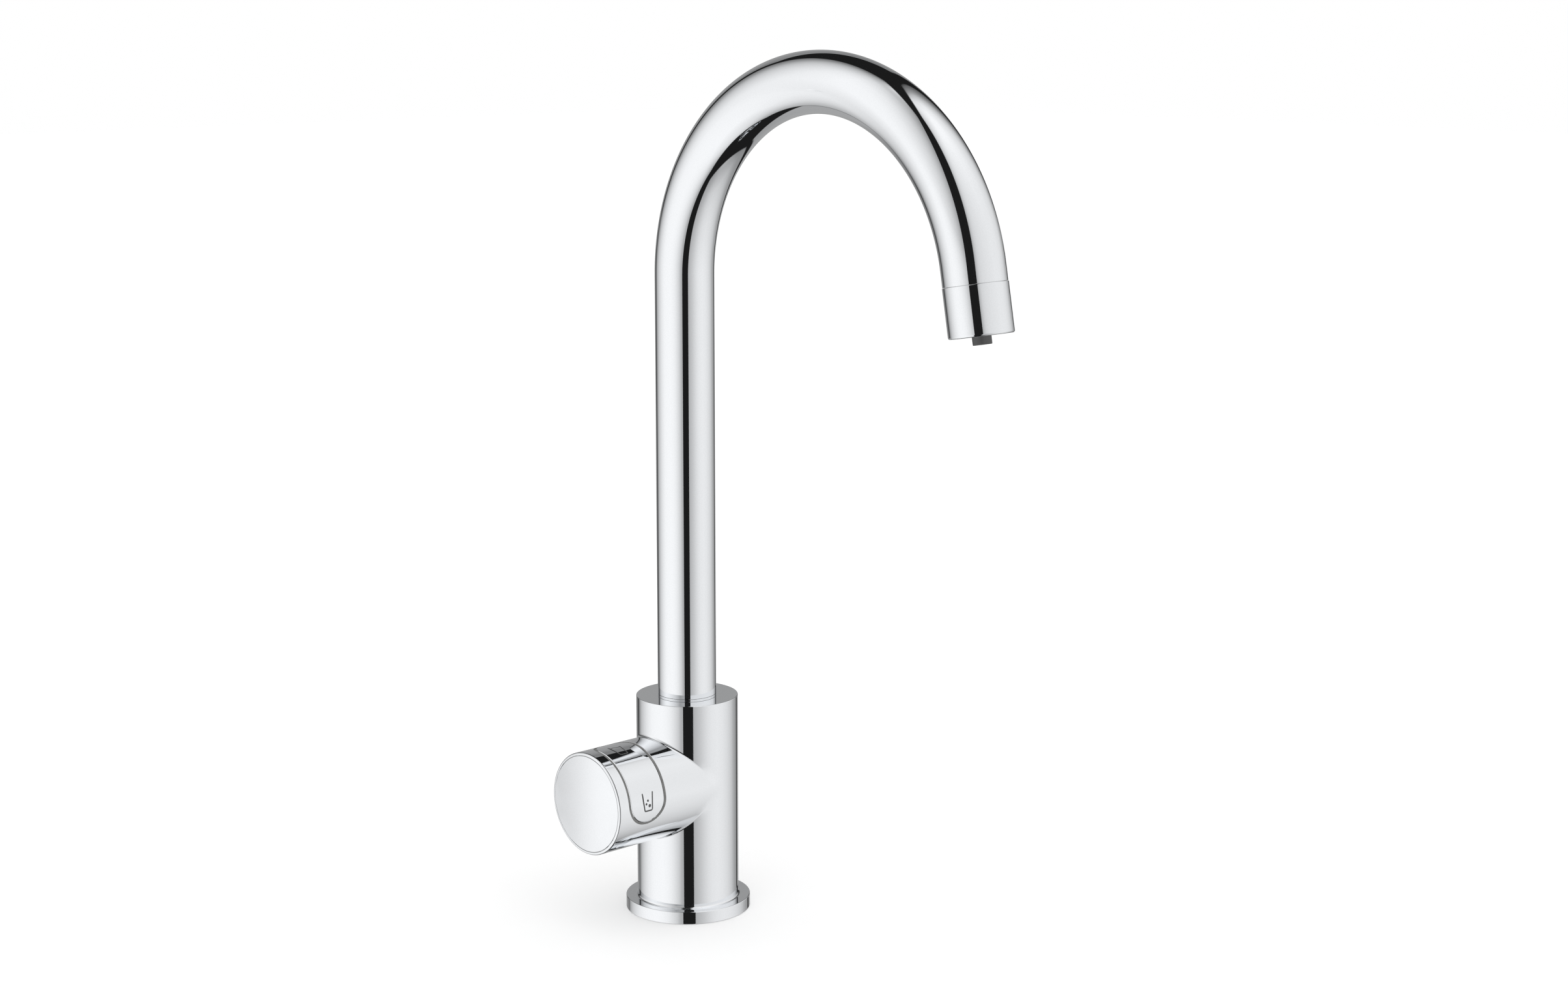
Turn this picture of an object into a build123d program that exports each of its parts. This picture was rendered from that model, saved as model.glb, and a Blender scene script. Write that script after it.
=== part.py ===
from build123d import *
import os
from math import asin, cos, degrees, pi, radians, sin, sqrt

os.makedirs("parts", exist_ok=True)

# A kitchen tap for filtered water. The origin is on the deck, in the middle of the foot.
# +Z is up, the spout reaches towards -Y and the side housing with its button towards -X.
# Lengths are in millimetres and angles in degrees.

# Body and foot
body_radius = 21.0
body_height = 90.5
body_edge = 0.25
foot_radius = 25.8
foot_height = 5.15
foot_edge = 0.3
foot_blend = 0.9

# Side housing, a stub a hair slimmer than the body
housing_step = 0.05
housing_drop = 35.7
housing_reach = 54.7
housing_blend = 1.2
housing_edge = 0.35
housing_wall = 4.0
housing_floor = 19.5

# Bores up the middle of the body
shank_thread_radius = 13.2
shank_thread_length = 14.0
chamber_radius = 16.0
web_drop = 34.5
web_thickness = 8.0
gasket_inset = 1.9
gasket_width = 3.0
gasket_depth = 1.5

# Spout
tube_radius = 12.05
tube_wall = 1.2
arch_radius = 78.75
arch_spring_height = 264.35
arch_angle = 169.8
tail_length = 6.0
swivel_angle = 75.0

# Spout foot, its rings and its stop
foot_bore_inset = 1.05
foot_shank_gap = 0.6
foot_insert_length = 13.0
foot_clearance_below = 1.5
running_gap = 0.05
seat_gap = 0.02
hairline = 0.1
glide_flange = 0.5
glide_sleeve_wall = 1.15
glide_sleeve_length = 6.0
lower_glide_start = 1.5
lower_glide_length = 3.4
lower_glide_depth = 0.7
lower_glide_split = 1.2
o_ring_radius = 0.9
o_ring_groove = 2.4
stop_drop = 12.5
stop_slot_depth = 2.2
stop_dog_radius = 1.5
stop_screw_radius = 2.5
stop_screw_sink = 1.0
stop_screw_flats = 2.5
stop_screw_socket = 3.0
stop_side_gap = 0.25

# Water line
water_radius = 4.0
water_wall = 1.1
connector_thread_radius = 6.5
connector_length_below = 16.0
connector_flange = 5.0
connector_flats = 19.0
connector_neck_radius = 7.5
hose_thread_radius = 4.5
hose_thread_length = 9.0
tube_entry = 10.5
connector_washer_thickness = 1.0
connector_washer_radius = 9.2
tube_seal_radius = 0.6
tube_seal_drop = 4.5
connector_top_gap = 0.5

# Outlet
sleeve_step = 0.15
sleeve_length = 18.8
sleeve_edge = 0.8
sleeve_wall = 2.2
sleeve_floor = 3.2
sleeve_spigot_gap = 0.5
sleeve_lip_edge = 0.2
nozzle_radius = 3.6
nozzle_reach = 3.1
nozzle_bore_radius = 2.4
nozzle_flange_radius = 6.0
nozzle_flange = 1.6
nozzle_vane = 0.5
nozzle_vane_length = 6.0
nozzle_spigot = 3.0
nozzle_spigot_radius = 3.2
tube_end_gap = 2.1

# Button and its seal
button_from_end = 14.7
button_lean = 45.0
button_half_width = 8.6
button_half_length = 22.3
button_thickness = 1.4
button_edge = 0.2
outline_steps = 4
seal_gap = 1.25
seal_slot = 0.16
seal_recess = 0.45
seal_shelf = 0.6
seal_ledge = 1.6
seal_lip = 1.0
press_travel = 0.5
rock_angle = 1.2
travel_margin = 0.2

# Rocker and slider under the button
carrier_thickness = 1.2
carrier_side_gap = 0.6
peg_radius = 1.5
peg_u = 3.4
peg_v = 6.0
pin_depth = 6.95
pin_radius = 1.25
ear_radius = 3.0
ear_thickness = 2.0
ear_gap = 0.3
plate_gap = 0.5
plate_thickness = 1.5
plate_half_length = 7.0
post_offset = 4.4
post_radius = 2.0
post_length = 10.0
spring_length = 4.8
spring_wire = 0.5
spring_turns = 4.5
spring_post_gap = 0.35
spring_samples = 24

# Switches, board and holder
board_thickness = 1.2
board_drop = 0.6
board_side_gap = 0.96
board_inner_gap = 4.2
board_hole_gap = 0.25
screw_clearance = 0.1
switch_gap = 0.3
switch_side = 6.0
switch_height = 3.5
plunger_radius = 1.7
plunger_height = 0.35
leg_width = 3.0
leg_depth = 5.0
socket_margin = 0.6
socket_width = 9.0
socket_depth = 5.2
socket_height = 4.6
socket_wall = 0.8
socket_pins = 4
socket_pin_pitch = 2.0
socket_pin = 0.5
holder_clearance = 0.2
holder_wall = 1.8
holder_plate = 1.6
holder_end_gap = 4.2
holder_boss_radius = 3.5
board_screw_radius = 1.0
board_screw_length = 5.0
board_screw_head_radius = 1.8
board_screw_head = 1.2
board_screw_side = 2.6
board_screw_inset = 2.2
board_boss_radius = 2.2
holder_screw_inset = 4.0
holder_screw_angle = 27.5
holder_screw_skin = 0.5
holder_screw_radius = 1.5
holder_screw_head_radius = 2.75
holder_screw_head = 2.0
screw_tube_radius = 3.0
screw_slot_width = 0.7
screw_slot_depth = 0.7

# Lead passage and end cap
lead_y = 4.0
lead_z = -5.0
lead_hole_radius = 4.0
lead_bore_radius = 2.2
lead_flange_radius = 5.5
lead_flange = 1.4
lead_shank = 3.0
lead_clearance = 0.8
cap_rim = 1.2
cap_gap = 0.15
cap_thickness = 1.6
cap_spigot = 1.5
cap_spigot_wall = 2.0
cap_bead = 0.25
cap_bead_length = 0.6
cap_bead_drop = 0.5
cap_edge = 0.12
cap_slot = 1.6
cap_slots = 8
cap_o_ring_radius = 0.6

# Values worked out from those above
lean = radians(button_lean)
outward = Vector(0, -cos(lean), sin(lean))
across = Vector(0, -sin(lean), -cos(lean))
housing_radius = body_radius - housing_step
housing_height = body_height - housing_drop
button_from_axis = housing_reach - button_from_end
button_middle = Vector(-button_from_axis, 0, housing_height)

gasket_outer = foot_radius - gasket_inset
gasket_inner = gasket_outer - gasket_width
web_bottom = body_height - web_drop
web_top = web_bottom + web_thickness
foot_bore_radius = tube_radius - foot_bore_inset
foot_shank_radius = foot_bore_radius - foot_shank_gap
glide_sleeve_radius = foot_shank_radius + running_gap + glide_sleeve_wall
foot_bottom = web_top + foot_clearance_below
tube_bore = tube_radius - tube_wall
tube_foot = body_height + glide_flange + hairline
glide_sleeve_bottom = body_height - glide_sleeve_length
lower_glide_bottom = foot_bottom + lower_glide_start
lower_glide_top = lower_glide_bottom + lower_glide_length
foot_seal_middle = foot_bore_radius - running_gap - o_ring_radius
stop_height = body_height - stop_drop
stop_slot_half_height = stop_dog_radius + stop_side_gap
stop_slot_floor = foot_shank_radius - stop_slot_depth
stop_dog_tip = stop_slot_floor + stop_side_gap
stop_slot_half_angle = swivel_angle + degrees(asin(stop_slot_half_height / stop_slot_floor))
foot_seal_heights = (
    (lower_glide_top + stop_height - stop_slot_half_height) / 2,
    (glide_sleeve_bottom + stop_height + stop_slot_half_height) / 2,
)

water_bore = water_radius - water_wall
flange_top = web_bottom - connector_washer_thickness
flange_bottom = flange_top - connector_flange
connector_bottom = flange_bottom - connector_length_below
connector_top = web_top - connector_top_gap
tube_socket_floor = connector_top - tube_entry
tube_start = tube_socket_floor + connector_top_gap
tube_seal_middle = water_radius + running_gap + tube_seal_radius
tube_seal_height = connector_top - tube_seal_drop

sleeve_radius = tube_radius + sleeve_step
sleeve_spigot = tail_length - sleeve_spigot_gap
sleeve_end = hairline + sleeve_length
sleeve_bore = tube_bore - seat_gap - sleeve_wall
sleeve_floor_top = sleeve_end - sleeve_floor
nozzle_flange_top = sleeve_floor_top - nozzle_flange
nozzle_top = nozzle_flange_top - nozzle_spigot
nozzle_end = sleeve_end + nozzle_reach
tube_end_depth = nozzle_top - tube_end_gap

housing_bore = housing_radius - housing_wall
cap_seat = housing_reach - cap_thickness - 2 * cap_o_ring_radius
cap_radius = housing_radius - cap_rim - cap_gap
cap_back = housing_reach - cap_thickness
cap_spigot_end = cap_seat - cap_spigot
cap_bead_end = cap_seat - cap_bead_drop
cap_seal_middle = (housing_bore + cap_radius + cap_gap) / 2

button_reach = housing_radius * sin(button_half_length / housing_radius)
aperture_half_width = button_half_width + seal_gap
aperture_reach = housing_radius * sin((button_half_length + seal_gap) / housing_radius)
rock_drop = button_reach * sin(radians(rock_angle))
shelf_depth = button_thickness + press_travel + rock_drop + travel_margin
ledge_depth = shelf_depth + seal_shelf
opening_half_width = aperture_half_width - seal_ledge
opening_reach = aperture_reach - seal_ledge
lip_half_width = opening_half_width - seal_lip
lip_reach = opening_reach - seal_lip
carrier_half_width = lip_half_width - carrier_side_gap
carrier_reach = lip_reach - carrier_side_gap
carrier_depth = button_thickness + carrier_thickness
clear_above = -housing_radius / 4

# Levels above the housing's axis, measured against the push
pin_level = housing_radius - pin_depth
plate_top = pin_level - ear_radius - plate_gap
plate_bottom = plate_top - plate_thickness
boss_top = plate_bottom - spring_length
board_top = boss_top - board_drop
board_bottom = board_top - board_thickness
plunger_top = board_top + switch_height + plunger_height
switch_offset = post_offset + holder_boss_radius + switch_gap + switch_side / 2
leg_drop = (switch_offset + leg_width / 2) * sin(radians(rock_angle))
leg_bottom = plunger_top + press_travel + leg_drop + travel_margin
post_bottom = plate_bottom - post_length
post_well = post_bottom - press_travel - travel_margin

spring_middle = post_radius + spring_post_gap + spring_wire / 2
spring_start = boss_top + spring_wire / 2
spring_end = plate_bottom - spring_wire / 2
spring_pitch = (spring_end - spring_start) / spring_turns

# Distances outwards along the housing from the button's middle
ear_inner = carrier_half_width - ear_thickness
saddle_half_width = ear_inner - ear_gap
holder_inner = housing_floor + seat_gap - button_from_axis
holder_outer = cap_seat - holder_end_gap - button_from_axis
board_inner = holder_inner + board_inner_gap
board_screw_inner = board_inner + board_screw_inset
board_screw_outer = holder_outer - board_screw_inset
socket_place = board_inner + socket_margin + socket_depth / 2
holder_radius = housing_bore - holder_clearance
holder_length = holder_outer - holder_inner
board_length = holder_outer - board_inner
board_half_width = sqrt(housing_bore**2 - board_top**2) - board_side_gap
board_screw_v = board_half_width - board_screw_side
holder_screw_grip = housing_floor - chamber_radius - holder_screw_skin
holder_screw_v = (housing_bore - holder_screw_inset) * cos(radians(holder_screw_angle))
holder_screw_n = -(housing_bore - holder_screw_inset) * sin(radians(holder_screw_angle))

# Planes. Along the housing: x forwards, y up. Button: x outwards, y across, z against the push.
housing_plane = Plane(origin=(0, 0, housing_height), x_dir=(0, -1, 0), z_dir=(-1, 0, 0))
lead_plane = Plane(origin=(0, lead_y, housing_height + lead_z), x_dir=(0, -1, 0), z_dir=(-1, 0, 0))
button_plane = Plane(origin=button_middle, x_dir=(-1, 0, 0), z_dir=outward)
cross_plane = Plane(origin=button_middle, x_dir=across, z_dir=(-1, 0, 0))
stop_plane = Plane(origin=(0, 0, stop_height), x_dir=(1, 0, 0), z_dir=(0, 1, 0))

arch = radians(arch_angle)
flow = Vector(0, -sin(arch), cos(arch))
arch_end = Vector(0, -arch_radius * (1 - cos(arch)), arch_spring_height + arch_radius * sin(arch))
outlet_plane = Plane(origin=arch_end + flow * tail_length, x_dir=(1, 0, 0), z_dir=flow)

# Places of the parts that repeat, as points in the plane that they stand on
middle = ((0, 0),)
pin_place = ((0, pin_level),)
post_places = ((0, post_offset), (0, -post_offset))
switch_places = ((0, switch_offset), (0, -switch_offset))
peg_places = [(u, v) for u in (-peg_u, peg_u) for v in (-peg_v, peg_v)]
board_screw_places = [
    (u, v) for u in (board_screw_inner, board_screw_outer) for v in (-board_screw_v, board_screw_v)
]
holder_screw_places = ((holder_screw_v, holder_screw_n), (-holder_screw_v, holder_screw_n))
lead_offset = Vector(0, lead_y, lead_z)
lead_place = ((lead_offset.dot(across), lead_offset.dot(outward)),)


def step(plane, radius, start, end, places=middle, mode=Mode.ADD):
    """Add or bore a round step between two distances along a plane's normal."""
    with BuildSketch(plane.offset(start)) as section:
        with Locations(*places):
            Circle(radius)
    extrude(section.sketch, amount=end - start, mode=mode)


def bore(plane, radius, start, end, places=middle):
    """Bore a round hole between two distances along a plane's normal."""
    step(plane, radius, start, end, places, Mode.SUBTRACT)


def ring(plane, outer, inner, start, end, mode=Mode.ADD):
    """Add or cut a ring between two distances along a plane's normal."""
    with BuildSketch(plane.offset(start)) as section:
        Circle(outer)
        Circle(inner, mode=Mode.SUBTRACT)
    extrude(section.sketch, amount=end - start, mode=mode)


def wrapped_slot(half_width, reach):
    """Draw the outline of a round-ended slot that lies on the housing, seen along the push."""
    end_middle = housing_radius * asin(reach / housing_radius) - half_width
    straight = housing_radius * sin(end_middle / housing_radius)
    quarter = []
    for i in range(outline_steps + 1):
        turn = pi / 2 * i / outline_steps
        arc = end_middle + half_width * sin(turn)
        quarter.append((half_width * cos(turn), housing_radius * sin(arc / housing_radius)))
    with BuildLine() as outline:
        for side in (1, -1):
            for flip in (1, -1):
                points = [(flip * u, side * v) for u, v in quarter]
                Spline(points, tangents=[(0, side), (-flip, 0)], tangent_scalars=[1, 1])
            Line((side * half_width, -straight), (side * half_width, straight))
    make_face(outline.edges())


def follow_housing(depth, mode):
    """Cut or keep what lies inside the housing's surface when that is pushed in by a depth."""
    with BuildSketch(Plane(origin=button_middle - outward * depth, z_dir=(-1, 0, 0))) as section:
        Circle(housing_radius)
    extrude(section.sketch, amount=housing_radius, both=True, mode=mode)


def slot_prism(half_width, reach):
    """Make a straight prism of the slot's outline, from the housing's axis outwards."""
    with BuildPart() as prism:
        with BuildSketch(button_plane):
            wrapped_slot(half_width, reach)
        extrude(amount=2 * housing_radius)
    return prism.part


def curved_slab(half_width, reach, top, bottom):
    """Make a round-ended plate that follows the housing between two push depths."""
    with BuildPart() as slab:
        add(slot_prism(half_width, reach))
        follow_housing(top, Mode.INTERSECT)
        follow_housing(bottom, Mode.SUBTRACT)
    return slab.part


def holder_segment(radius):
    """Draw the part of a circle that lies below the circuit board."""
    Circle(radius)
    with Locations((0, board_bottom)):
        Rectangle(2 * radius, 2 * radius, align=(Align.CENTER, Align.MIN), mode=Mode.SUBTRACT)


def spout_route(start, tail):
    """Make the spout's middle line from a height on the tap's axis to the end of a straight tail."""
    with BuildLine(Plane.YZ) as route:
        Line((0, start), (0, arch_spring_height))
        bend = CenterArc((-arch_radius, arch_spring_height), arch_radius, 0, arch_angle)
        Line(bend @ 1, bend @ 1 + (bend % 1) * tail)
    return route.line


def finish(piece, name):
    """Label a finished piece and write it out."""
    piece.label = name
    export_step(piece, f"parts/{name}.step")


# Body: a turned barrel and foot with the side housing grown out of it
with BuildPart() as tap_body:
    with BuildSketch(Plane.XZ):
        with BuildLine():
            FilletPolyline(
                (0, 0),
                (foot_radius, 0),
                (foot_radius, foot_height),
                (body_radius, foot_height),
                (body_radius, body_height),
                (0, body_height),
                radius=[0, foot_edge, foot_blend, body_edge],
            )
            Line((0, body_height), (0, 0))
        make_face()
    revolve(axis=Axis.Z)
    step(housing_plane, housing_radius, 0, housing_reach)
    seams = tap_body.edges().filter_by(GeomType.CIRCLE, reverse=True)
    fillet(seams.filter_by(GeomType.LINE, reverse=True), housing_blend)
    fillet(tap_body.edges().filter_by(GeomType.CIRCLE).sort_by(Axis.X)[0], housing_edge)
    # Up the middle: shank thread, chamber, web, spout bearing and seat of the glide ring
    bore(Plane.XY, shank_thread_radius, 0, shank_thread_length)
    bore(Plane.XY, chamber_radius, shank_thread_length, web_bottom)
    bore(Plane.XY, connector_thread_radius, web_bottom, web_top)
    bore(Plane.XY, foot_bore_radius, web_top, body_height)
    bore(Plane.XY, glide_sleeve_radius + seat_gap, glide_sleeve_bottom, body_height)
    ring(Plane.XY, gasket_outer, gasket_inner, 0, gasket_depth, Mode.SUBTRACT)
    # Side housing: cavity, seat and snap groove of the end cap, opening of the button
    bore(housing_plane, housing_bore, housing_floor, cap_seat)
    bore(housing_plane, cap_radius + cap_gap, cap_seat, housing_reach)
    bore(housing_plane, housing_bore + cap_bead, cap_bead_end - 2 * cap_bead_length, cap_bead_end)
    add(curved_slab(aperture_half_width, aperture_reach, clear_above, ledge_depth), mode=Mode.SUBTRACT)
    add(slot_prism(opening_half_width, opening_reach), mode=Mode.SUBTRACT)
    # Lead passage, threads of the holder's screws and thread of the stop screw
    bore(lead_plane, lead_hole_radius, chamber_radius / 2, housing_floor)
    bore(
        cross_plane,
        holder_screw_radius + seat_gap,
        holder_inner - holder_screw_grip,
        holder_inner,
        holder_screw_places,
    )
    bore(stop_plane, stop_screw_radius + seat_gap, foot_bore_radius / 2, body_radius + body_edge)
finish(tap_body.part, "tap_body")

with BuildPart() as base_gasket:
    ring(Plane.XY, gasket_outer - seat_gap, gasket_inner + seat_gap, 0, gasket_depth)
finish(base_gasket.part, "base_gasket")

# Collar that shows between body and spout, with its sleeve in the body's bore
with BuildPart() as upper_glide_ring:
    step(Plane.XY, glide_sleeve_radius, glide_sleeve_bottom, body_height)
    step(Plane.XY, tube_radius, body_height, body_height + glide_flange)
    bore(Plane.XY, foot_shank_radius + running_gap, glide_sleeve_bottom, tube_foot)
finish(upper_glide_ring.part, "upper_glide_ring")

# Inlet: a fitting screwed up into the web, which the water tube turns in
with BuildPart() as inlet_connector:
    step(Plane.XY, connector_thread_radius - seat_gap, flange_top, connector_top)
    with BuildSketch(Plane.XY.offset(flange_bottom)):
        RegularPolygon(connector_flats / 2, 6, major_radius=False)
    extrude(amount=connector_flange)
    step(Plane.XY, connector_neck_radius, connector_bottom, flange_bottom)
    bore(Plane.XY, hose_thread_radius, connector_bottom, connector_bottom + hose_thread_length)
    bore(Plane.XY, water_bore, connector_bottom, connector_top)
    bore(Plane.XY, water_radius + running_gap, tube_socket_floor, connector_top)
    bore(
        Plane.XY,
        tube_seal_middle + tube_seal_radius + seat_gap,
        tube_seal_height - tube_seal_radius,
        tube_seal_height + tube_seal_radius,
    )
finish(inlet_connector.part, "inlet_connector")

with BuildPart() as connector_washer:
    ring(Plane.XY, connector_washer_radius, connector_thread_radius, flange_top, web_bottom)
finish(connector_washer.part, "connector_washer")

with BuildPart() as water_tube_seal:
    with Locations((0, 0, tube_seal_height)):
        Torus(tube_seal_middle, tube_seal_radius)
finish(water_tube_seal.part, "water_tube_seal")

# Spout: a bent tube with a turned foot that hangs in the body
with BuildPart() as spout_tube:
    with BuildSketch(Plane.XY.offset(tube_foot)):
        Circle(tube_radius)
        Circle(tube_bore, mode=Mode.SUBTRACT)
    sweep(path=spout_route(tube_foot, tail_length))
finish(spout_tube.part, "spout_tube")

with BuildPart() as spout_foot:
    step(Plane.XY, foot_shank_radius, foot_bottom, tube_foot)
    step(Plane.XY, tube_bore - seat_gap, tube_foot, tube_foot + foot_insert_length)
    bore(Plane.XY, water_radius + hairline, foot_bottom, tube_foot + foot_insert_length)
    ring(
        Plane.XY,
        foot_bore_radius,
        foot_shank_radius - lower_glide_depth,
        lower_glide_bottom,
        lower_glide_top,
        Mode.SUBTRACT,
    )
    for height in foot_seal_heights:
        ring(
            Plane.XY,
            foot_bore_radius,
            foot_seal_middle - o_ring_radius,
            height - o_ring_groove / 2,
            height + o_ring_groove / 2,
            Mode.SUBTRACT,
        )
    # Slot that the stop screw runs in, open over the swivel to each side of the back
    with BuildSketch(Plane.XY.offset(stop_height - stop_slot_half_height)):
        with BuildLine():
            slot_start = 90 - stop_slot_half_angle
            outer = CenterArc((0, 0), foot_bore_radius, slot_start, 2 * stop_slot_half_angle)
            inner = CenterArc((0, 0), stop_slot_floor, slot_start, 2 * stop_slot_half_angle)
            Line(outer @ 0, inner @ 0)
            Line(outer @ 1, inner @ 1)
        make_face()
    extrude(amount=2 * stop_slot_half_height, mode=Mode.SUBTRACT)
finish(spout_foot.part, "spout_foot")

with BuildPart() as lower_glide_ring:
    ring(
        Plane.XY,
        foot_bore_radius - running_gap,
        foot_shank_radius - lower_glide_depth + seat_gap,
        lower_glide_bottom,
        lower_glide_top,
    )
    with Locations((foot_bore_radius, 0, lower_glide_bottom)):
        Box(
            foot_bore_radius,
            lower_glide_split,
            lower_glide_length,
            align=(Align.CENTER, Align.CENTER, Align.MIN),
            mode=Mode.SUBTRACT,
        )
finish(lower_glide_ring.part, "lower_glide_ring")

with BuildPart() as foot_seals:
    with Locations(*[(0, 0, height) for height in foot_seal_heights]):
        Torus(foot_seal_middle, o_ring_radius)
finish(foot_seals.part, "foot_seals")

# Grub screw in the back of the body, with a dog point in the foot's slot
with BuildPart() as swivel_stop_screw:
    step(stop_plane, stop_dog_radius, stop_dog_tip, foot_bore_radius + stop_side_gap)
    step(stop_plane, stop_screw_radius, foot_bore_radius + stop_side_gap, body_radius - stop_screw_sink)
    with BuildSketch(stop_plane.offset(body_radius - stop_screw_sink)):
        RegularPolygon(stop_screw_flats / 2, 6, major_radius=False)
    extrude(amount=-stop_screw_socket, mode=Mode.SUBTRACT)
finish(swivel_stop_screw.part, "swivel_stop_screw")

with BuildPart() as water_tube:
    with BuildSketch(Plane.XY.offset(tube_start)):
        Circle(water_radius)
        Circle(water_bore, mode=Mode.SUBTRACT)
    sweep(path=spout_route(tube_start, tail_length + tube_end_depth))
finish(water_tube.part, "water_tube")

# Outlet: a sleeve on a spigot in the tube's end, with the nozzle in its floor
with BuildPart() as outlet_sleeve:
    step(outlet_plane, sleeve_radius, hairline, sleeve_end)
    rims = outlet_sleeve.edges().filter_by(GeomType.CIRCLE).sort_by(Axis.Z)
    fillet(rims[0], sleeve_edge)
    fillet(rims[-1], sleeve_lip_edge)
    step(outlet_plane, tube_bore - seat_gap, -sleeve_spigot, hairline)
    bore(outlet_plane, sleeve_bore, -sleeve_spigot, sleeve_floor_top)
    bore(outlet_plane, nozzle_radius + seat_gap, sleeve_floor_top, sleeve_end)
    ring(
        outlet_plane,
        tube_radius,
        tube_bore - 2 * tube_seal_radius,
        -sleeve_spigot / 2 - tube_seal_radius,
        -sleeve_spigot / 2 + tube_seal_radius,
        Mode.SUBTRACT,
    )
finish(outlet_sleeve.part, "outlet_sleeve")

with BuildPart() as outlet_seal:
    with Locations(outlet_plane.offset(-sleeve_spigot / 2).location):
        Torus(tube_bore - tube_seal_radius, tube_seal_radius)
finish(outlet_seal.part, "outlet_seal")

with BuildPart() as flow_carrier:
    step(outlet_plane, sleeve_bore - seat_gap, hairline, sleeve_floor_top)
    bore(outlet_plane, water_radius + seat_gap, hairline, tube_end_depth)
    bore(outlet_plane, water_bore, tube_end_depth, nozzle_top)
    bore(outlet_plane, nozzle_spigot_radius + seat_gap, nozzle_top, nozzle_flange_top)
    bore(outlet_plane, nozzle_flange_radius + seat_gap, nozzle_flange_top, sleeve_floor_top)
finish(flow_carrier.part, "flow_carrier")

with BuildPart() as nozzle:
    step(outlet_plane, nozzle_spigot_radius, nozzle_top, nozzle_flange_top)
    step(outlet_plane, nozzle_flange_radius, nozzle_flange_top, sleeve_floor_top)
    step(outlet_plane, nozzle_radius, sleeve_floor_top, nozzle_end)
    bore(outlet_plane, nozzle_bore_radius, nozzle_top, nozzle_end)
    with BuildSketch(outlet_plane.offset(nozzle_end - nozzle_vane_length - nozzle_vane)):
        Rectangle(2 * nozzle_bore_radius + nozzle_vane, nozzle_vane)
        Rectangle(nozzle_vane, 2 * nozzle_bore_radius + nozzle_vane)
    extrude(amount=nozzle_vane_length)
finish(nozzle.part, "nozzle")

# Button: a curved pad that rocks on a pin in a saddle, and the saddle slides on two posts
with BuildPart() as selector_button:
    step(button_plane, peg_radius, pin_level + ear_radius, housing_radius, peg_places)
    follow_housing(button_thickness / 2, Mode.INTERSECT)
    add(curved_slab(button_half_width, button_reach, 0, button_thickness))
    fillet(selector_button.faces().sort_by(Axis(button_middle, outward))[-1].edges(), button_edge)
finish(selector_button.part, "selector_button")

with BuildPart() as button_carrier:
    for side in (ear_inner, -carrier_half_width):
        with BuildSketch(cross_plane.offset(side)) as ear:
            with Locations((0, pin_level)):
                Circle(ear_radius)
                Rectangle(2 * ear_radius, housing_radius, align=(Align.CENTER, Align.MIN))
        extrude(ear.sketch, amount=ear_thickness)
    with BuildSketch(button_plane.offset(leg_bottom)) as legs:
        with Locations(*switch_places):
            Rectangle(leg_depth, leg_width)
    extrude(legs.sketch, amount=housing_radius)
    follow_housing(carrier_depth - carrier_thickness / 2, Mode.INTERSECT)
    add(curved_slab(carrier_half_width, carrier_reach, button_thickness, carrier_depth))
    bore(cross_plane, pin_radius + running_gap, -carrier_half_width, carrier_half_width, pin_place)
    bore(button_plane, peg_radius + seat_gap, leg_bottom, housing_radius, peg_places)
finish(button_carrier.part, "button_carrier")

with BuildPart() as rocker_pin:
    step(cross_plane, pin_radius, -carrier_half_width, carrier_half_width, pin_place)
finish(rocker_pin.part, "rocker_pin")

with BuildPart() as button_slider:
    with BuildSketch(button_plane.offset(plate_bottom)):
        RectangleRounded(2 * saddle_half_width + ear_radius, 2 * plate_half_length, ear_radius / 2)
    extrude(amount=plate_thickness)
    with BuildSketch(cross_plane.offset(-saddle_half_width)):
        with Locations((0, pin_level)):
            Circle(ear_radius)
            Rectangle(2 * ear_radius, pin_level - plate_top, align=(Align.CENTER, Align.MAX))
    extrude(amount=2 * saddle_half_width)
    bore(cross_plane, pin_radius, -saddle_half_width, saddle_half_width, pin_place)
    step(button_plane, post_radius, post_bottom, plate_bottom, post_places)
finish(button_slider.part, "button_slider")

# Rubber frame round the pad, with a shelf that lies on the body's ledge
with BuildPart() as button_seal:
    add(curved_slab(aperture_half_width - seat_gap, aperture_reach - seat_gap, seal_recess, ledge_depth))
    pad_room = curved_slab(button_half_width + seal_slot, button_reach + seal_slot, clear_above, shelf_depth)
    add(pad_room, mode=Mode.SUBTRACT)
    add(slot_prism(lip_half_width, lip_reach), mode=Mode.SUBTRACT)
finish(button_seal.part, "button_seal")

# Two springs round the posts, each wound as tangent arcs, two to a quarter turn
def spring_point(place, turn):
    """Give the middle of the spring's wire at a number of turns from its start."""
    from_post = button_plane.x_dir * cos(2 * pi * turn) + button_plane.y_dir * sin(2 * pi * turn)
    level = spring_start + spring_pitch * turn
    return button_plane.from_local_coords(Vector(*place)) + outward * level + from_post * spring_middle


def spring_way(turn):
    """Give the direction of the spring's wire at a number of turns from its start."""
    round_post = button_plane.y_dir * cos(2 * pi * turn) - button_plane.x_dir * sin(2 * pi * turn)
    return (round_post * 2 * pi * spring_middle + outward * spring_pitch).normalized()


def spring_route(place):
    """Join the points of a spring by pairs of tangent arcs."""
    with BuildLine() as route:
        for quarter in range(round(4 * spring_turns)):
            start, end = (spring_point(place, (quarter + side) / 4) for side in (0, 1))
            start_way, end_way = (spring_way((quarter + side) / 4) for side in (0, 1))
            chord = end - start
            ways = start_way + end_way
            spread = ways.dot(ways) - 4
            reach = (chord.dot(ways) - sqrt(chord.dot(ways) ** 2 - spread * chord.dot(chord))) / spread
            first = start + start_way * reach
            last = end - end_way * reach
            TangentArc(start, (first + last) / 2, tangent=start_way)
            TangentArc((first + last) / 2, end, tangent=last - first)
    return route.line


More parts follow.
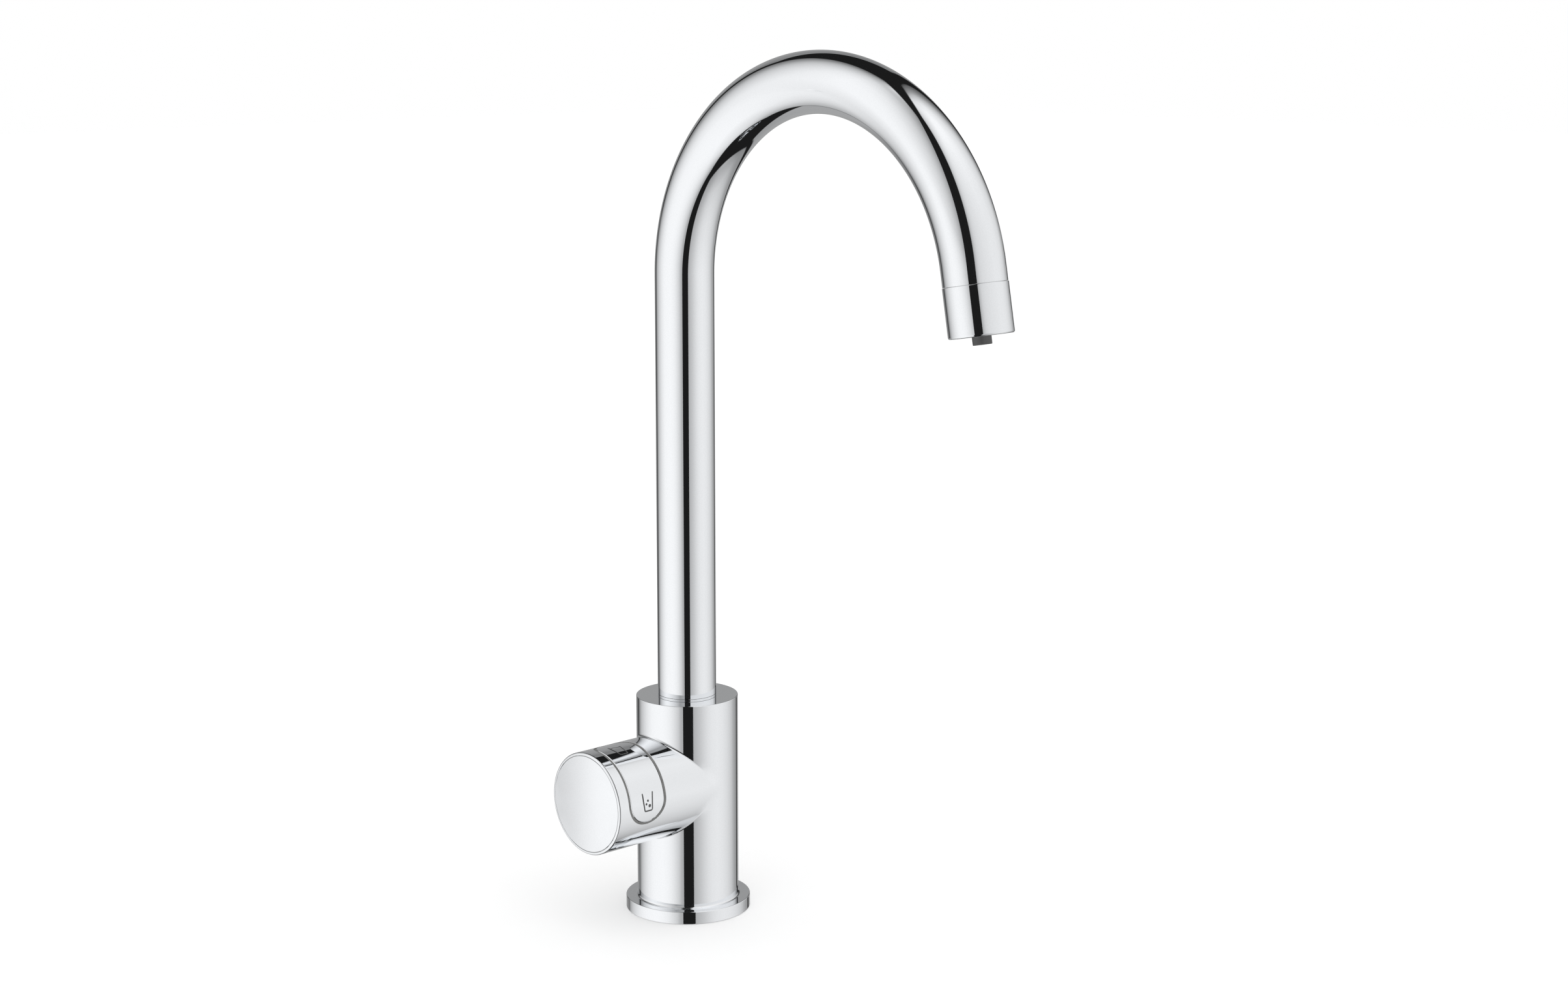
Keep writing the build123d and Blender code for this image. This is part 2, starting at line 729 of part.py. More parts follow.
with BuildPart() as return_springs:
    for place in post_places:
        wire = spring_route(place)
        with BuildSketch(Plane(origin=wire @ 0, z_dir=wire % 0)) as wire_section:
            Circle(spring_wire / 2)
        sweep(wire_section.sketch, path=wire)
finish(return_springs.part, "return_springs")

sample_count = round(spring_turns * spring_samples)
samples = [spring_point(post_places[0], i / spring_samples) for i in range(sample_count)]
gaps = [
    (b - a).length - spring_wire for i, a in enumerate(samples) for b in samples[i + spring_samples // 2 :]
]
print(f"Least gap between the turns of a spring: {min(gaps):.2f} mm")

# Chassis below the circuit board: a half-round tray with bosses for posts and screws
with BuildPart() as switch_holder:
    with BuildSketch(cross_plane.offset(holder_inner)) as tray:
        holder_segment(holder_radius)
    extrude(tray.sketch, amount=holder_length)
    with BuildSketch(cross_plane.offset(holder_inner + holder_plate)) as hollow:
        holder_segment(holder_radius - holder_wall)
    extrude(hollow.sketch, amount=holder_length - 2 * holder_plate, mode=Mode.SUBTRACT)
    with BuildSketch(cross_plane.offset(-holder_plate / 2)) as rib:
        holder_segment(holder_radius)
    extrude(rib.sketch, amount=holder_plate)
    step(button_plane, holder_boss_radius, -holder_radius, boss_top, post_places)
    step(button_plane, board_boss_radius, -holder_radius, board_bottom, board_screw_places)
    step(cross_plane, screw_tube_radius, holder_inner, holder_outer, holder_screw_places)
    step(cross_plane, holder_radius, holder_inner, holder_outer, mode=Mode.INTERSECT)
    bore(button_plane, post_radius + running_gap, post_well, boss_top, post_places)
    bore(button_plane, board_screw_radius, board_top - board_screw_length, board_bottom, board_screw_places)
    bore(cross_plane, holder_screw_radius + screw_clearance, holder_inner, holder_outer, holder_screw_places)
    bore(
        cross_plane,
        lead_flange_radius + lead_clearance,
        holder_inner,
        holder_inner + holder_plate,
        lead_place,
    )
finish(switch_holder.part, "switch_holder")

with BuildPart() as holder_screws:
    step(
        cross_plane,
        holder_screw_radius,
        holder_inner - holder_screw_grip,
        holder_outer,
        holder_screw_places,
    )
    head_end = holder_outer + holder_screw_head
    step(cross_plane, holder_screw_head_radius, holder_outer, head_end, holder_screw_places)
    with BuildSketch(cross_plane.offset(head_end)):
        with Locations(*holder_screw_places):
            Rectangle(2 * holder_screw_head_radius, screw_slot_width)
    extrude(amount=-screw_slot_depth, mode=Mode.SUBTRACT)
finish(holder_screws.part, "holder_screws")

with BuildPart() as switch_board:
    with BuildSketch(button_plane.offset(board_bottom)):
        with Locations((board_inner, 0)):
            Rectangle(board_length, 2 * board_half_width, align=(Align.MIN, Align.CENTER))
    extrude(amount=board_thickness)
    bore(button_plane, holder_boss_radius + board_hole_gap, board_bottom, board_top, post_places)
    bore(button_plane, board_screw_radius + screw_clearance, board_bottom, board_top, board_screw_places)
finish(switch_board.part, "switch_board")

with BuildPart() as board_screws:
    step(button_plane, board_screw_radius, board_top - board_screw_length, board_top, board_screw_places)
    head_end = board_top + board_screw_head
    step(button_plane, board_screw_head_radius, board_top, head_end, board_screw_places)
    with BuildSketch(button_plane.offset(head_end)):
        with Locations(*board_screw_places):
            Rectangle(screw_slot_width, 2 * board_screw_head_radius)
    extrude(amount=-screw_slot_depth, mode=Mode.SUBTRACT)
finish(board_screws.part, "board_screws")

with BuildPart() as tact_switches:
    with BuildSketch(button_plane.offset(board_top)):
        with Locations(*switch_places):
            Rectangle(switch_side, switch_side)
    extrude(amount=switch_height)
    step(button_plane, plunger_radius, board_top + switch_height, plunger_top, switch_places)
finish(tact_switches.part, "tact_switches")

# Plug socket for the signal lead, open towards the barrel
with BuildPart() as lead_socket:
    with BuildSketch(button_plane.offset(board_top)):
        with Locations((socket_place, 0)):
            Rectangle(socket_depth, socket_width)
    extrude(amount=socket_height)
    mouth = lead_socket.faces().sort_by(Axis.X)[-1]
    offset(amount=-socket_wall, openings=mouth)
    back = lead_socket.faces().sort_by(Axis.X)[0]
    with BuildSketch(Plane(back, x_dir=across)):
        with GridLocations(socket_pin_pitch, 0, socket_pins, 1):
            Rectangle(socket_pin, socket_pin)
    extrude(amount=-socket_depth)
finish(lead_socket.part, "lead_socket")

with BuildPart() as lead_grommet:
    step(lead_plane, lead_hole_radius - seat_gap, housing_floor - lead_shank, housing_floor)
    step(lead_plane, lead_flange_radius, housing_floor, housing_floor + lead_flange)
    bore(lead_plane, lead_bore_radius, housing_floor - lead_shank, housing_floor + lead_flange)
finish(lead_grommet.part, "lead_grommet")

# Cap that snaps into the housing's end, its spigot slotted so that it can flex
with BuildPart() as end_cap:
    step(housing_plane, cap_radius, cap_back, housing_reach)
    fillet(end_cap.edges().sort_by(Axis.X)[0], cap_edge)
    spigot_inner = housing_bore - cap_spigot_wall
    bead_outer = housing_bore + cap_bead - seat_gap
    ring(housing_plane, housing_bore - seat_gap, spigot_inner, cap_spigot_end, cap_back)
    ring(housing_plane, bead_outer, spigot_inner, cap_bead_end - cap_bead_length, cap_bead_end)
    with BuildSketch(housing_plane.offset(cap_spigot_end)):
        with PolarLocations(housing_bore, cap_slots):
            Rectangle(2 * cap_spigot_wall + cap_slot, cap_slot)
    extrude(amount=cap_spigot, mode=Mode.SUBTRACT)
finish(end_cap.part, "end_cap")

with BuildPart() as cap_seal:
    with Locations(housing_plane.offset(cap_back - cap_o_ring_radius).location):
        Torus(cap_seal_middle, cap_o_ring_radius)
finish(cap_seal.part, "cap_seal")
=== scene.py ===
from math import atan2, cos, pi, radians, sin, sqrt, tan

import bmesh
import bpy
import numpy as np
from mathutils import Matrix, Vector
from mathutils.geometry import delaunay_2d_cdt

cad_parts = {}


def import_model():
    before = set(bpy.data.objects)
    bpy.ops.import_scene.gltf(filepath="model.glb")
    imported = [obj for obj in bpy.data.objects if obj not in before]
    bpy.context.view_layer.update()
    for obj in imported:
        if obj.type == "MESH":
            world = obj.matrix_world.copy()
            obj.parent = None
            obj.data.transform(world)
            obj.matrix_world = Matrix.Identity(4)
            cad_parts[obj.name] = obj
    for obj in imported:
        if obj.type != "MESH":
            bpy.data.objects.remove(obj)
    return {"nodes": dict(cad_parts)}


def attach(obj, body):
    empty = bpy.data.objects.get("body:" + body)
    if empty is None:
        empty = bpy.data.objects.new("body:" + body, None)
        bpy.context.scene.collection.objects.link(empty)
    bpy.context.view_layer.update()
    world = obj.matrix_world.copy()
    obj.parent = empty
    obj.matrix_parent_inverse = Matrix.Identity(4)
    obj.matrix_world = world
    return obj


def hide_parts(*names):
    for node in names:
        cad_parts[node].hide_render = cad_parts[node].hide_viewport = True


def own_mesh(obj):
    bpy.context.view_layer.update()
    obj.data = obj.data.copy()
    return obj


# A kitchen tap for filtered water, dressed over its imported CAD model.
# Shapes are worked out in millimetres, in the frame of the CAD model: +Z up, spout to -Y, button to -X.

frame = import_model()
bpy.context.view_layer.update()
nodes = frame["nodes"]

# Sizes: the CAD model's own, apart from some edges and the seal's face, which follow the photograph
BODY_RADIUS, BODY_HEIGHT, BODY_EDGE = 21.0, 90.5, 0.25
FOOT_RADIUS, FOOT_HEIGHT, FOOT_EDGE, FOOT_BLEND, SOLE_EDGE = 25.8, 5.15, 0.3, 0.9, 0.15
GASKET_OUTER, GASKET_INNER, GASKET_DEPTH = 23.9, 20.9, 1.5
SHANK_RADIUS, SHANK_LENGTH, SHANK_PITCH, SHANK_THREAD = 13.2, 14.0, 1.5, 0.8
HOUSING_RADIUS, HOUSING_HEIGHT, HOUSING_REACH = 20.95, 54.8, 54.7
HOUSING_EDGE, HOUSING_BLEND = 0.8, 1.2
TUBE_RADIUS, TUBE_BORE, TUBE_FOOT, TUBE_EDGE = 12.05, 10.85, 91.1, 0.12
ARCH_RADIUS, ARCH_SPRING, ARCH_ANGLE, TAIL = 78.75, 264.35, 169.8, 6.0
GLIDE_BORE, RING_BORE, RING_RADIUS, RING_FOOT, RING_TOP = 11.62, 10.45, 11.6, 84.5, 91.0
STOP_HEIGHT, STOP_RADIUS, FOOT_BORE = 78.0, 2.52, 11.0
CAP_RADIUS, CAP_HOLE, CAP_BACK, CAP_SEAT, CAP_EDGE = 19.6, 19.75, 53.1, 51.9, 0.22
BUTTON_FROM_AXIS, BUTTON_HALF_WIDTH, BUTTON_HALF_LENGTH = 40.0, 8.6, 22.3
BUTTON_THICKNESS, BUTTON_EDGE, PRESS_TRAVEL, SPRING_LENGTH = 1.4, 0.2, 0.5, 4.8
SEAL_GAP, SEAL_SLOT, SEAL_LIP, SEAL_RECESS, SEAL_CLEARANCE = 1.25, 0.26, 0.08, 0.33, 0.02
SHELF_DEPTH, LEDGE_DEPTH, APERTURE_EDGE = 2.483, 3.083, 0.12
# Outlet, with levels from the spout's end
SLEEVE_RADIUS, SLEEVE_START, SLEEVE_END, SLEEVE_FLOOR = 12.2, 0.1, 18.9, 15.7
PLUG_RADIUS, PLUG_BORE, PLUG_BACK, MOUTH_RADIUS = 10.83, 8.63, -5.5, 3.62
GROOVE_RADIUS, GROOVE_BACK, GROOVE_FRONT = 9.65, -3.35, -2.15
NOZZLE_RADIUS, NOZZLE_BORE, NOZZLE_END = 3.6, 2.4, 22.0
SPIGOT_RADIUS, SPIGOT_BACK, FLANGE_RADIUS, FLANGE_BACK = 3.2, 11.1, 6.0, 14.1

# How finely faces are divided: steps round them, points along a seam, and spacings when unrolled
BARREL_STEPS, HOUSING_STEPS, CAP_STEPS, TUBE_STEPS, NOZZLE_STEPS = 240, 360, 240, 112, 64
THREAD_STEPS, THREAD_ROW, SCREW_STEPS = 120, SHANK_PITCH / 12, 48
BARREL_SEAM, HOUSING_SEAM = 30, 24
BARREL_SPACING, HOUSING_SPACING, PAD_SPACING = (1.1, 2.5), (1.1, 2.0), (0.9, 0.9)
# Millimetres in a metre, the distance in metres that points are welded within, and a negligible length
METRE, WELD, TINY = 1000, 4e-6, 1e-6

LEFT, UP = np.array([-1.0, 0, 0]), np.array([0, 0, 1.0])
OUTWARD = np.array([0, -sqrt(0.5), sqrt(0.5)])
ACROSS = np.array([0, -sqrt(0.5), -sqrt(0.5)])
HOUSING_MIDDLE = np.array([0, 0, HOUSING_HEIGHT])


# Mesh tools


def unit(vectors):
    """Scale vectors to length 1."""
    vectors = np.asarray(vectors, float)
    return vectors / np.linalg.norm(vectors, axis=-1, keepdims=True)


def grid(rows, columns, closed=False):
    """List the quads of a grid of points that are numbered row by row."""
    row = np.arange(rows - 1)[:, None] * columns
    here = np.arange(columns if closed else columns - 1)[None]
    there = (here + 1) % columns
    quads = np.stack([row + here, row + there, row + columns + there, row + columns + here], axis=-1)
    return quads.reshape(-1, 4)


def linked(name, data):
    """Add an object with the given data to the scene."""
    obj = bpy.data.objects.new(name, data)
    bpy.context.scene.collection.objects.link(obj)
    return obj


class Skin:
    """Gathers patches of points with their exact normals, and welds them into one mesh."""

    def __init__(self):
        self.points, self.normals, self.faces, self.slots, self.count = [], [], [], [], 0

    def patch(self, points, normals, faces, slots=0):
        """Add faces, turned so that they look along their normals."""
        points = np.asarray(points, float).reshape(-1, 3)
        normals = np.asarray(normals, float).reshape(-1, 3)
        faces = np.array(faces, int)
        corners = points[faces]
        if faces.shape[1] == 4:
            facing = np.cross(corners[:, 2] - corners[:, 0], corners[:, 3] - corners[:, 1])
        else:
            facing = np.cross(corners[:, 1] - corners[:, 0], corners[:, 2] - corners[:, 0])
        backwards = np.einsum("ij,ij->i", facing, normals[faces].mean(axis=1)) < 0
        faces[backwards] = faces[backwards][:, ::-1]
        self.points.append(points)
        self.normals.append(normals)
        self.faces.append(faces + self.count)
        self.slots.append(np.full(len(faces), slots) if np.isscalar(slots) else slots)
        self.count += len(points)

    def piece(self, name, body, slot, replaced, marks=()):
        """Make the object in its slot's look, let it ride on its body and stand for its CAD node."""
        points, normals = np.vstack(self.points) / METRE, np.vstack(self.normals)
        faces = [face for group in self.faces for face in group.tolist()]
        mesh = bpy.data.meshes.new(name)
        mesh.from_pydata(points.tolist(), [], faces)
        corner_points = np.array([i for face in faces for i in face])
        exact = mesh.attributes.new("exact", "FLOAT_VECTOR", "CORNER")
        exact.data.foreach_set("vector", normals[corner_points].astype(np.float32).ravel())
        mesh.polygons.foreach_set("material_index", np.concatenate(self.slots).astype(np.int32))
        welded = bmesh.new()
        welded.from_mesh(mesh)
        bmesh.ops.remove_doubles(welded, verts=welded.verts, dist=WELD)
        welded.to_mesh(mesh)
        welded.free()
        exact = mesh.attributes["exact"]
        corner_normals = np.zeros(len(mesh.loops) * 3, np.float32)
        exact.data.foreach_get("vector", corner_normals)
        mesh.attributes.remove(exact)
        mesh.polygons.foreach_set("use_smooth", np.ones(len(mesh.polygons), bool))
        mesh.normals_split_custom_set(corner_normals.reshape(-1, 3).tolist())
        for material in (looks[slot], *marks):
            mesh.materials.append(material)
        obj = linked(name, mesh)
        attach(obj, body)
        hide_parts(replaced)
        return obj


def contour(corners, steps=5):
    """Split an outline of (radius, level, rounding) corners into smooth strips.

    The outline runs with the material on its left. A strip is a list of radius, level and normal.
    """
    places = [np.array(corner[:2], float) for corner in corners]
    strips, start = [], places[0]
    for i in range(1, len(places)):
        way = unit(places[i] - places[i - 1])
        normal = np.array([way[1], -way[0]])
        rounding = corners[i][2] if i < len(places) - 1 and len(corners[i]) > 2 else 0
        if not rounding:
            end = places[i]
        else:
            after = unit(places[i + 1] - places[i])
            turn = atan2(way[0] * after[1] - way[1] * after[0], way @ after)
            end = places[i] - way * rounding * tan(abs(turn) / 2)
        if np.linalg.norm(end - start) > TINY:
            strips.append([(*start, *normal), (*end, *normal)])
        if rounding:
            side = 1 if turn > 0 else -1
            middle = end - side * normal * rounding
            arc = []
            for step in range(steps + 1):
                angle = turn * step / steps
                spun = cos(angle) * normal + sin(angle) * np.array([-normal[1], normal[0]])
                arc.append((*(middle + side * spun * rounding), *spun))
            strips.append(arc)
            end = places[i] + after * rounding * tan(abs(turn) / 2)
        start = end
    return strips


def turned(skin, corners, place, angles, stations=(), steps=5):
    """Turn an outline round an axis, or sweep it along a path.

    place gives the origin and the three directions at a level, and stations are levels that
    long strips are divided at.
    """
    for strip in contour(corners, steps):
        first, last = strip[0], strip[-1]
        if len(strip) == 2:
            low, high = sorted((first[1], last[1]))
            levels = [level for level in stations if low + TINY < level < high - TINY]
            if first[1] > last[1]:
                levels.reverse()
            start, way = np.array(first), np.array(last) - np.array(first)
            inner = [tuple(start + way * (level - first[1]) / (last[1] - first[1])) for level in levels]
            strip = [first, *inner, last]
        points, normals = [], []
        for radius, level, normal_out, normal_along in strip:
            origin, x_way, y_way, along = place(level)
            round_about = np.outer(np.cos(angles), x_way) + np.outer(np.sin(angles), y_way)
            points.append(origin + radius * round_about)
            normals.append(normal_out * round_about + normal_along * along)
        skin.patch(points, normals, grid(len(strip), len(angles), closed=True))


def upright(level):
    """Place a level on the tap's own axis."""
    return level * UP, np.array([1.0, 0, 0]), np.array([0, 1.0, 0]), UP


def sideways(level):
    """Place a level on the housing's axis, measured outwards from the tap's axis."""
    return HOUSING_MIDDLE + level * LEFT, OUTWARD, ACROSS, LEFT


def along_spout(level):
    """Place a length along the spout's middle line, from the tube's lower end."""
    straight = ARCH_SPRING - TUBE_FOOT
    bend = min(max((level - straight) / ARCH_RADIUS, 0), radians(ARCH_ANGLE))
    rest = level - straight - bend * ARCH_RADIUS
    radial = np.array([0, cos(bend), sin(bend)])
    along = np.array([0, -sin(bend), cos(bend)])
    origin = np.array([0, -ARCH_RADIUS, ARCH_SPRING]) + ARCH_RADIUS * radial + rest * along
    return origin, np.array([1.0, 0, 0]), radial, along


SPOUT_LENGTH = ARCH_SPRING - TUBE_FOOT + ARCH_RADIUS * radians(ARCH_ANGLE) + TAIL


def at_outlet(level):
    """Place a level on the outlet's axis, measured from the spout's end."""
    return along_spout(SPOUT_LENGTH + level)


def circle(count):
    """Give evenly spaced angles round a circle."""
    return np.arange(count) * 2 * pi / count


def inside(points, loop):
    """Tell which points lie inside a closed loop."""
    x, y = points[:, 0, None], points[:, 1, None]
    here, there = loop, np.roll(loop, -1, axis=0)
    crosses = (here[:, 1] > y) != (there[:, 1] > y)
    rise = np.where(there[:, 1] == here[:, 1], 1, there[:, 1] - here[:, 1])
    left = x < (there[:, 0] - here[:, 0]) * (y - here[:, 1]) / rise + here[:, 0]
    return (crosses & left).sum(axis=1) % 2 == 1


def filled(skin, outline, holes, spacing, lift, marks=()):
    """Fill a flat outline with triangles, leave out its holes, and lift it on to a surface.

    Triangles inside a mark get the second material.
    """
    loops = [outline, *holes, *marks]
    edge = np.vstack(loops)
    low, high = outline.min(axis=0), outline.max(axis=0)
    across = np.arange(low[0] + spacing[0] / 2, high[0], spacing[0])
    along = np.arange(low[1] + spacing[1] / 2, high[1], spacing[1])
    inner = np.stack(np.meshgrid(across, along), axis=-1).reshape(-1, 2)
    inner = inner[inside(inner, outline)]
    for hole in holes:
        inner = inner[~inside(inner, hole)]
    # Points that would crowd an edge are left out
    near = np.array([np.hypot(*(edge - point).T).min() for point in inner])
    inner = inner[near > 0.3 * min(spacing)]
    links, start = [], 0
    for loop in loops:
        links += [(start + i, start + (i + 1) % len(loop)) for i in range(len(loop))]
        start += len(loop)
    coords = [Vector(point) for point in np.vstack([edge, inner])]
    verts, _, faces, *_ = delaunay_2d_cdt(coords, links, [], 0, 1e-7)
    verts, faces = np.array(verts), np.array(faces)
    middles = verts[faces].mean(axis=1)
    keep = inside(middles, outline)
    for hole in holes:
        keep &= ~inside(middles, hole)
    marked = np.zeros(len(faces), int)
    for mark in marks:
        marked[inside(middles, mark)] = 1
    points, normals = lift(verts[:, 0], verts[:, 1])
    skin.patch(points, normals, faces[keep], marked[keep])


def from_cad(skin, node, wanted):
    """Copy the faces of a CAD node whose middles are wanted, with their normals."""
    mesh = nodes[node].data
    places = np.zeros(len(mesh.vertices) * 3, np.float32)
    mesh.vertices.foreach_get("co", places)
    places = places.reshape(-1, 3) * METRE
    normals = np.zeros(len(mesh.loops) * 3, np.float32)
    mesh.corner_normals.foreach_get("vector", normals)
    normals = normals.reshape(-1, 3, 3)
    corners = np.zeros(len(mesh.loops), np.int32)
    mesh.loops.foreach_get("vertex_index", corners)
    corners = places[corners].reshape(-1, 3, 3)
    keep = wanted(corners.mean(axis=1))
    corners, normals = corners[keep], normals[keep]
    skin.patch(corners, normals, np.arange(3 * len(corners)).reshape(-1, 3))


# Slots on the housing's face


def on_housing(arc, out, depth=0.0):
    """Give points of the housing's face, pushed in by a depth, from arc lengths and distances out."""
    turn = np.asarray(arc, float)[:, None] / HOUSING_RADIUS
    normals = np.sin(turn) * ACROSS + np.cos(turn) * OUTWARD
    middle = HOUSING_MIDDLE + np.asarray(out, float)[:, None] * LEFT
    return middle + HOUSING_RADIUS * normals - depth * OUTWARD, normals


def rounded_slot(half_width, half_length, grown=0.0):
    """Draw a round-ended slot on the unrolled housing, as arc lengths and distances out, with its normals."""
    reach = half_length - half_width
    half_width += grown
    straight = np.linspace(-reach, reach, 29)[1:-1]
    bend = np.linspace(0, pi, 49)
    zero = np.zeros(len(straight))
    arcs = np.append(straight, reach + half_width * np.sin(bend))
    outs = np.append(zero + half_width, half_width * np.cos(bend))
    normals = np.column_stack([np.append(zero, np.sin(bend)), np.append(zero + 1, np.cos(bend))])
    half = np.column_stack([arcs, outs])
    return np.vstack([half, -half]) + [0, BUTTON_FROM_AXIS], np.vstack([normals, -normals])


def slot_wall(skin, half_width, half_length, top, bottom, hollow, rounding=0.0):
    """Add the straight wall under a slot's outline, with a rounded edge at its top."""
    loop, flat = rounded_slot(half_width, half_length)
    points, faces_out = on_housing(loop[:, 0], loop[:, 1])
    lean = np.cos(loop[:, 0] / HOUSING_RADIUS)
    out = flat[:, 1:2] * lean[:, None] * LEFT + flat[:, 0:1] * ACROSS
    wall_normals = unit(out) * (-1 if hollow else 1)
    rows = [points - OUTWARD * top, points - OUTWARD * bottom]
    skin.patch(rows, [wall_normals, wall_normals], grid(2, len(loop), closed=True))
    if rounding:
        wide, _ = rounded_slot(half_width, half_length, rounding if hollow else -rounding)
        start, _ = on_housing(wide[:, 0], wide[:, 1])
        rows, normals = [], []
        for t in np.linspace(0, 1, 5):
            rows.append((1 - t) ** 2 * start + 2 * t * (1 - t) * points + t**2 * (points - OUTWARD * top))
            normals.append(unit((1 - t) * faces_out + t * wall_normals))
        skin.patch(rows, normals, grid(len(rows), len(loop), closed=True))


def push_depth(points):
    """Tell how deep points lie below the housing's face, against the button's push."""
    relative = points - HOUSING_MIDDLE
    across = relative @ ACROSS
    face = np.sqrt(np.clip(HOUSING_RADIUS**2 - across**2, 0, None))
    return face - relative @ OUTWARD


# Materials


def shade(name, colour, roughness, metallic=0.0, **sockets):
    """Start a material whose even values sit on the shader's own sockets."""
    material = bpy.data.materials.new(f"{name}_finish")
    material.use_nodes = True
    shader = material.node_tree.nodes["Principled BSDF"]
    shader.inputs["Base Color"].default_value = (*colour, 1)
    shader.inputs["Roughness"].default_value = roughness
    shader.inputs["Metallic"].default_value = metallic
    for socket, value in sockets.items():
        shader.inputs[socket.replace("_", " ")].default_value = value
    return material, material.node_tree, shader


def put(tree, kind, links=(), **values):
    """Add a node to a tree, set its sockets and link others' outputs to it."""
    node = tree.nodes.new(kind)
    for name, value in values.items():
        if hasattr(node, name):
            setattr(node, name, value)
        else:
            node.inputs[name.replace("_", " ")].default_value = value
    for socket, source in dict(links).items():
        tree.links.new(source, node.inputs[socket])
    return node


def spread(tree, source, low, high, start=0.0, end=1.0):
    """Map a value from one range to another."""
    node = tree.nodes.new("ShaderNodeMapRange")
    for socket, value in zip(("From Min", "From Max", "To Min", "To Max"), (start, end, low, high)):
        node.inputs[socket].default_value = value
    tree.links.new(source, node.inputs["Value"])
    return node.outputs["Result"]


def fade(tree, source, start, end):
    """Rise from 0 to 1 as a value goes from start to end."""
    return spread(tree, source, 0.0, 1.0, start, end)


def noise(tree, scale, detail=2.0, stretch=None):
    """Add noise in the object's own coordinates, stretched where asked."""
    where = tree.nodes.new("ShaderNodeTexCoord").outputs["Object"]
    if stretch:
        mapping = put(tree, "ShaderNodeMapping", {"Vector": where})
        mapping.inputs["Scale"].default_value = stretch
        where = mapping.outputs["Vector"]
    return put(tree, "ShaderNodeTexNoise", {"Vector": where}, Scale=scale, Detail=detail).outputs["Fac"]


def bumped(tree, shader, height, distance, strength=1.0):
    """Raise a shader's surface by a height map, over a distance in metres."""
    bump = put(tree, "ShaderNodeBump", {"Height": height}, Strength=strength, Distance=distance)
    tree.links.new(bump.outputs["Normal"], shader.inputs["Normal"])


def tinted(tree, shader, factor, first, second, start=0.0, end=1.0):
    """Vary a shader's colour between two, as a factor goes from start to end."""
    if (start, end) != (0.0, 1.0):
        factor = fade(tree, factor, start, end)
    mix = put(tree, "ShaderNodeMix", data_type="RGBA")
    mix.inputs[6].default_value, mix.inputs[7].default_value = (*first, 1), (*second, 1)
    tree.links.new(factor, mix.inputs[0])
    tree.links.new(mix.outputs[2], shader.inputs["Base Color"])


def roughened(tree, shader, factor, low, high, start=0.0, end=1.0):
    """Vary a shader's roughness from low to high, as a factor goes from start to end."""
    tree.links.new(spread(tree, factor, low, high, start, end), shader.inputs["Roughness"])


def plated(name, haze=0.03, ripple=4e-7):
    """Make polished chrome plate, with a trace of haze and a casting's faint unevenness below it."""
    material, tree, shader = shade(name, (0.915, 0.93, 0.95), haze, metallic=1.0)
    patches = noise(tree, 90, 3)
    fine = noise(tree, 1800, 2)
    roughened(tree, shader, patches, haze * 0.8, haze * 1.5, 0.35, 0.7)
    tinted(tree, shader, fine, (0.905, 0.92, 0.94), (0.92, 0.935, 0.955), 0.4, 0.6)
    bumped(tree, shader, noise(tree, 120, 1), ripple)
    return material


def rubber(name):
    """Make moulded rubber with a fine grain and a dusty bloom."""
    material, tree, shader = shade(name, (0.2, 0.2, 0.195), 0.6)
    tinted(tree, shader, noise(tree, 300, 4), (0.17, 0.17, 0.165), (0.24, 0.24, 0.235), 0.35, 0.7)
    bumped(tree, shader, noise(tree, 3500, 3), 3e-5, 0.5)
    return material


def moulded(name, colour, roughness, grain=2600, depth=2e-5, shift=0.12):
    """Make moulded plastic with a spark-eroded grain and a slight flow of its colour."""
    material, tree, shader = shade(name, colour, roughness)
    darker, lighter = [c * (1 - shift) for c in colour], [min(c * (1 + shift), 1) for c in colour]
    tinted(tree, shader, noise(tree, 140, 3), darker, lighter, 0.35, 0.65)
    roughened(tree, shader, noise(tree, grain / 2, 2), roughness * 0.85, roughness * 1.2)
    bumped(tree, shader, noise(tree, grain, 2), depth, 0.6)
    return material


def machined(name, colour, roughness, stretch, lines=900, depth=1.2e-5):
    """Make bare metal with the fine lines that a tool leaves."""
    material, tree, shader = shade(name, colour, roughness, metallic=1.0)
    marks = noise(tree, lines, 3, stretch)
    roughened(tree, shader, marks, roughness * 0.7, roughness * 1.4)
    darker, lighter = [c * 0.86 for c in colour], [min(c * 1.08, 1) for c in colour]
    tinted(tree, shader, noise(tree, 200, 4), darker, lighter, 0.3, 0.7)
    bumped(tree, shader, marks, depth, 0.5)
    return material


def fibre_sheet(name):
    """Make pressed fibre with flecks."""
    material, tree, shader = shade(name, (0.3, 0.09, 0.055), 0.8)
    tinted(tree, shader, noise(tree, 1500, 6), (0.22, 0.06, 0.04), (0.42, 0.16, 0.1), 0.45, 0.6)
    bumped(tree, shader, noise(tree, 2500, 5), 5e-5, 0.7)
    return material


def laminate(name):
    """Make a circuit board's green mask over copper tracks."""
    material, tree, shader = shade(name, (0.01, 0.11, 0.045), 0.35)
    where = tree.nodes.new("ShaderNodeTexCoord").outputs["Object"]
    bricks = {"Scale": 260.0, "Mortar_Size": 0.06, "Mortar_Smooth": 0.2}
    tracks = put(tree, "ShaderNodeTexBrick", {"Vector": where}, **bricks).outputs["Fac"]
    tinted(tree, shader, tracks, (0.008, 0.09, 0.035), (0.03, 0.2, 0.07))
    roughened(tree, shader, noise(tree, 900, 3), 0.25, 0.45)
    bumped(tree, shader, tracks, 3e-5, 0.5)
    return material


def etched(name):
    """Make the darkened, roughened metal of a laser mark."""
    material, tree, shader = shade(name, (0.1, 0.1, 0.1), 0.5, metallic=0.4)
    tinted(tree, shader, noise(tree, 4000, 3), (0.07, 0.07, 0.07), (0.14, 0.14, 0.14))
    bumped(tree, shader, noise(tree, 6000, 2), 2e-5, 0.5)
    return material


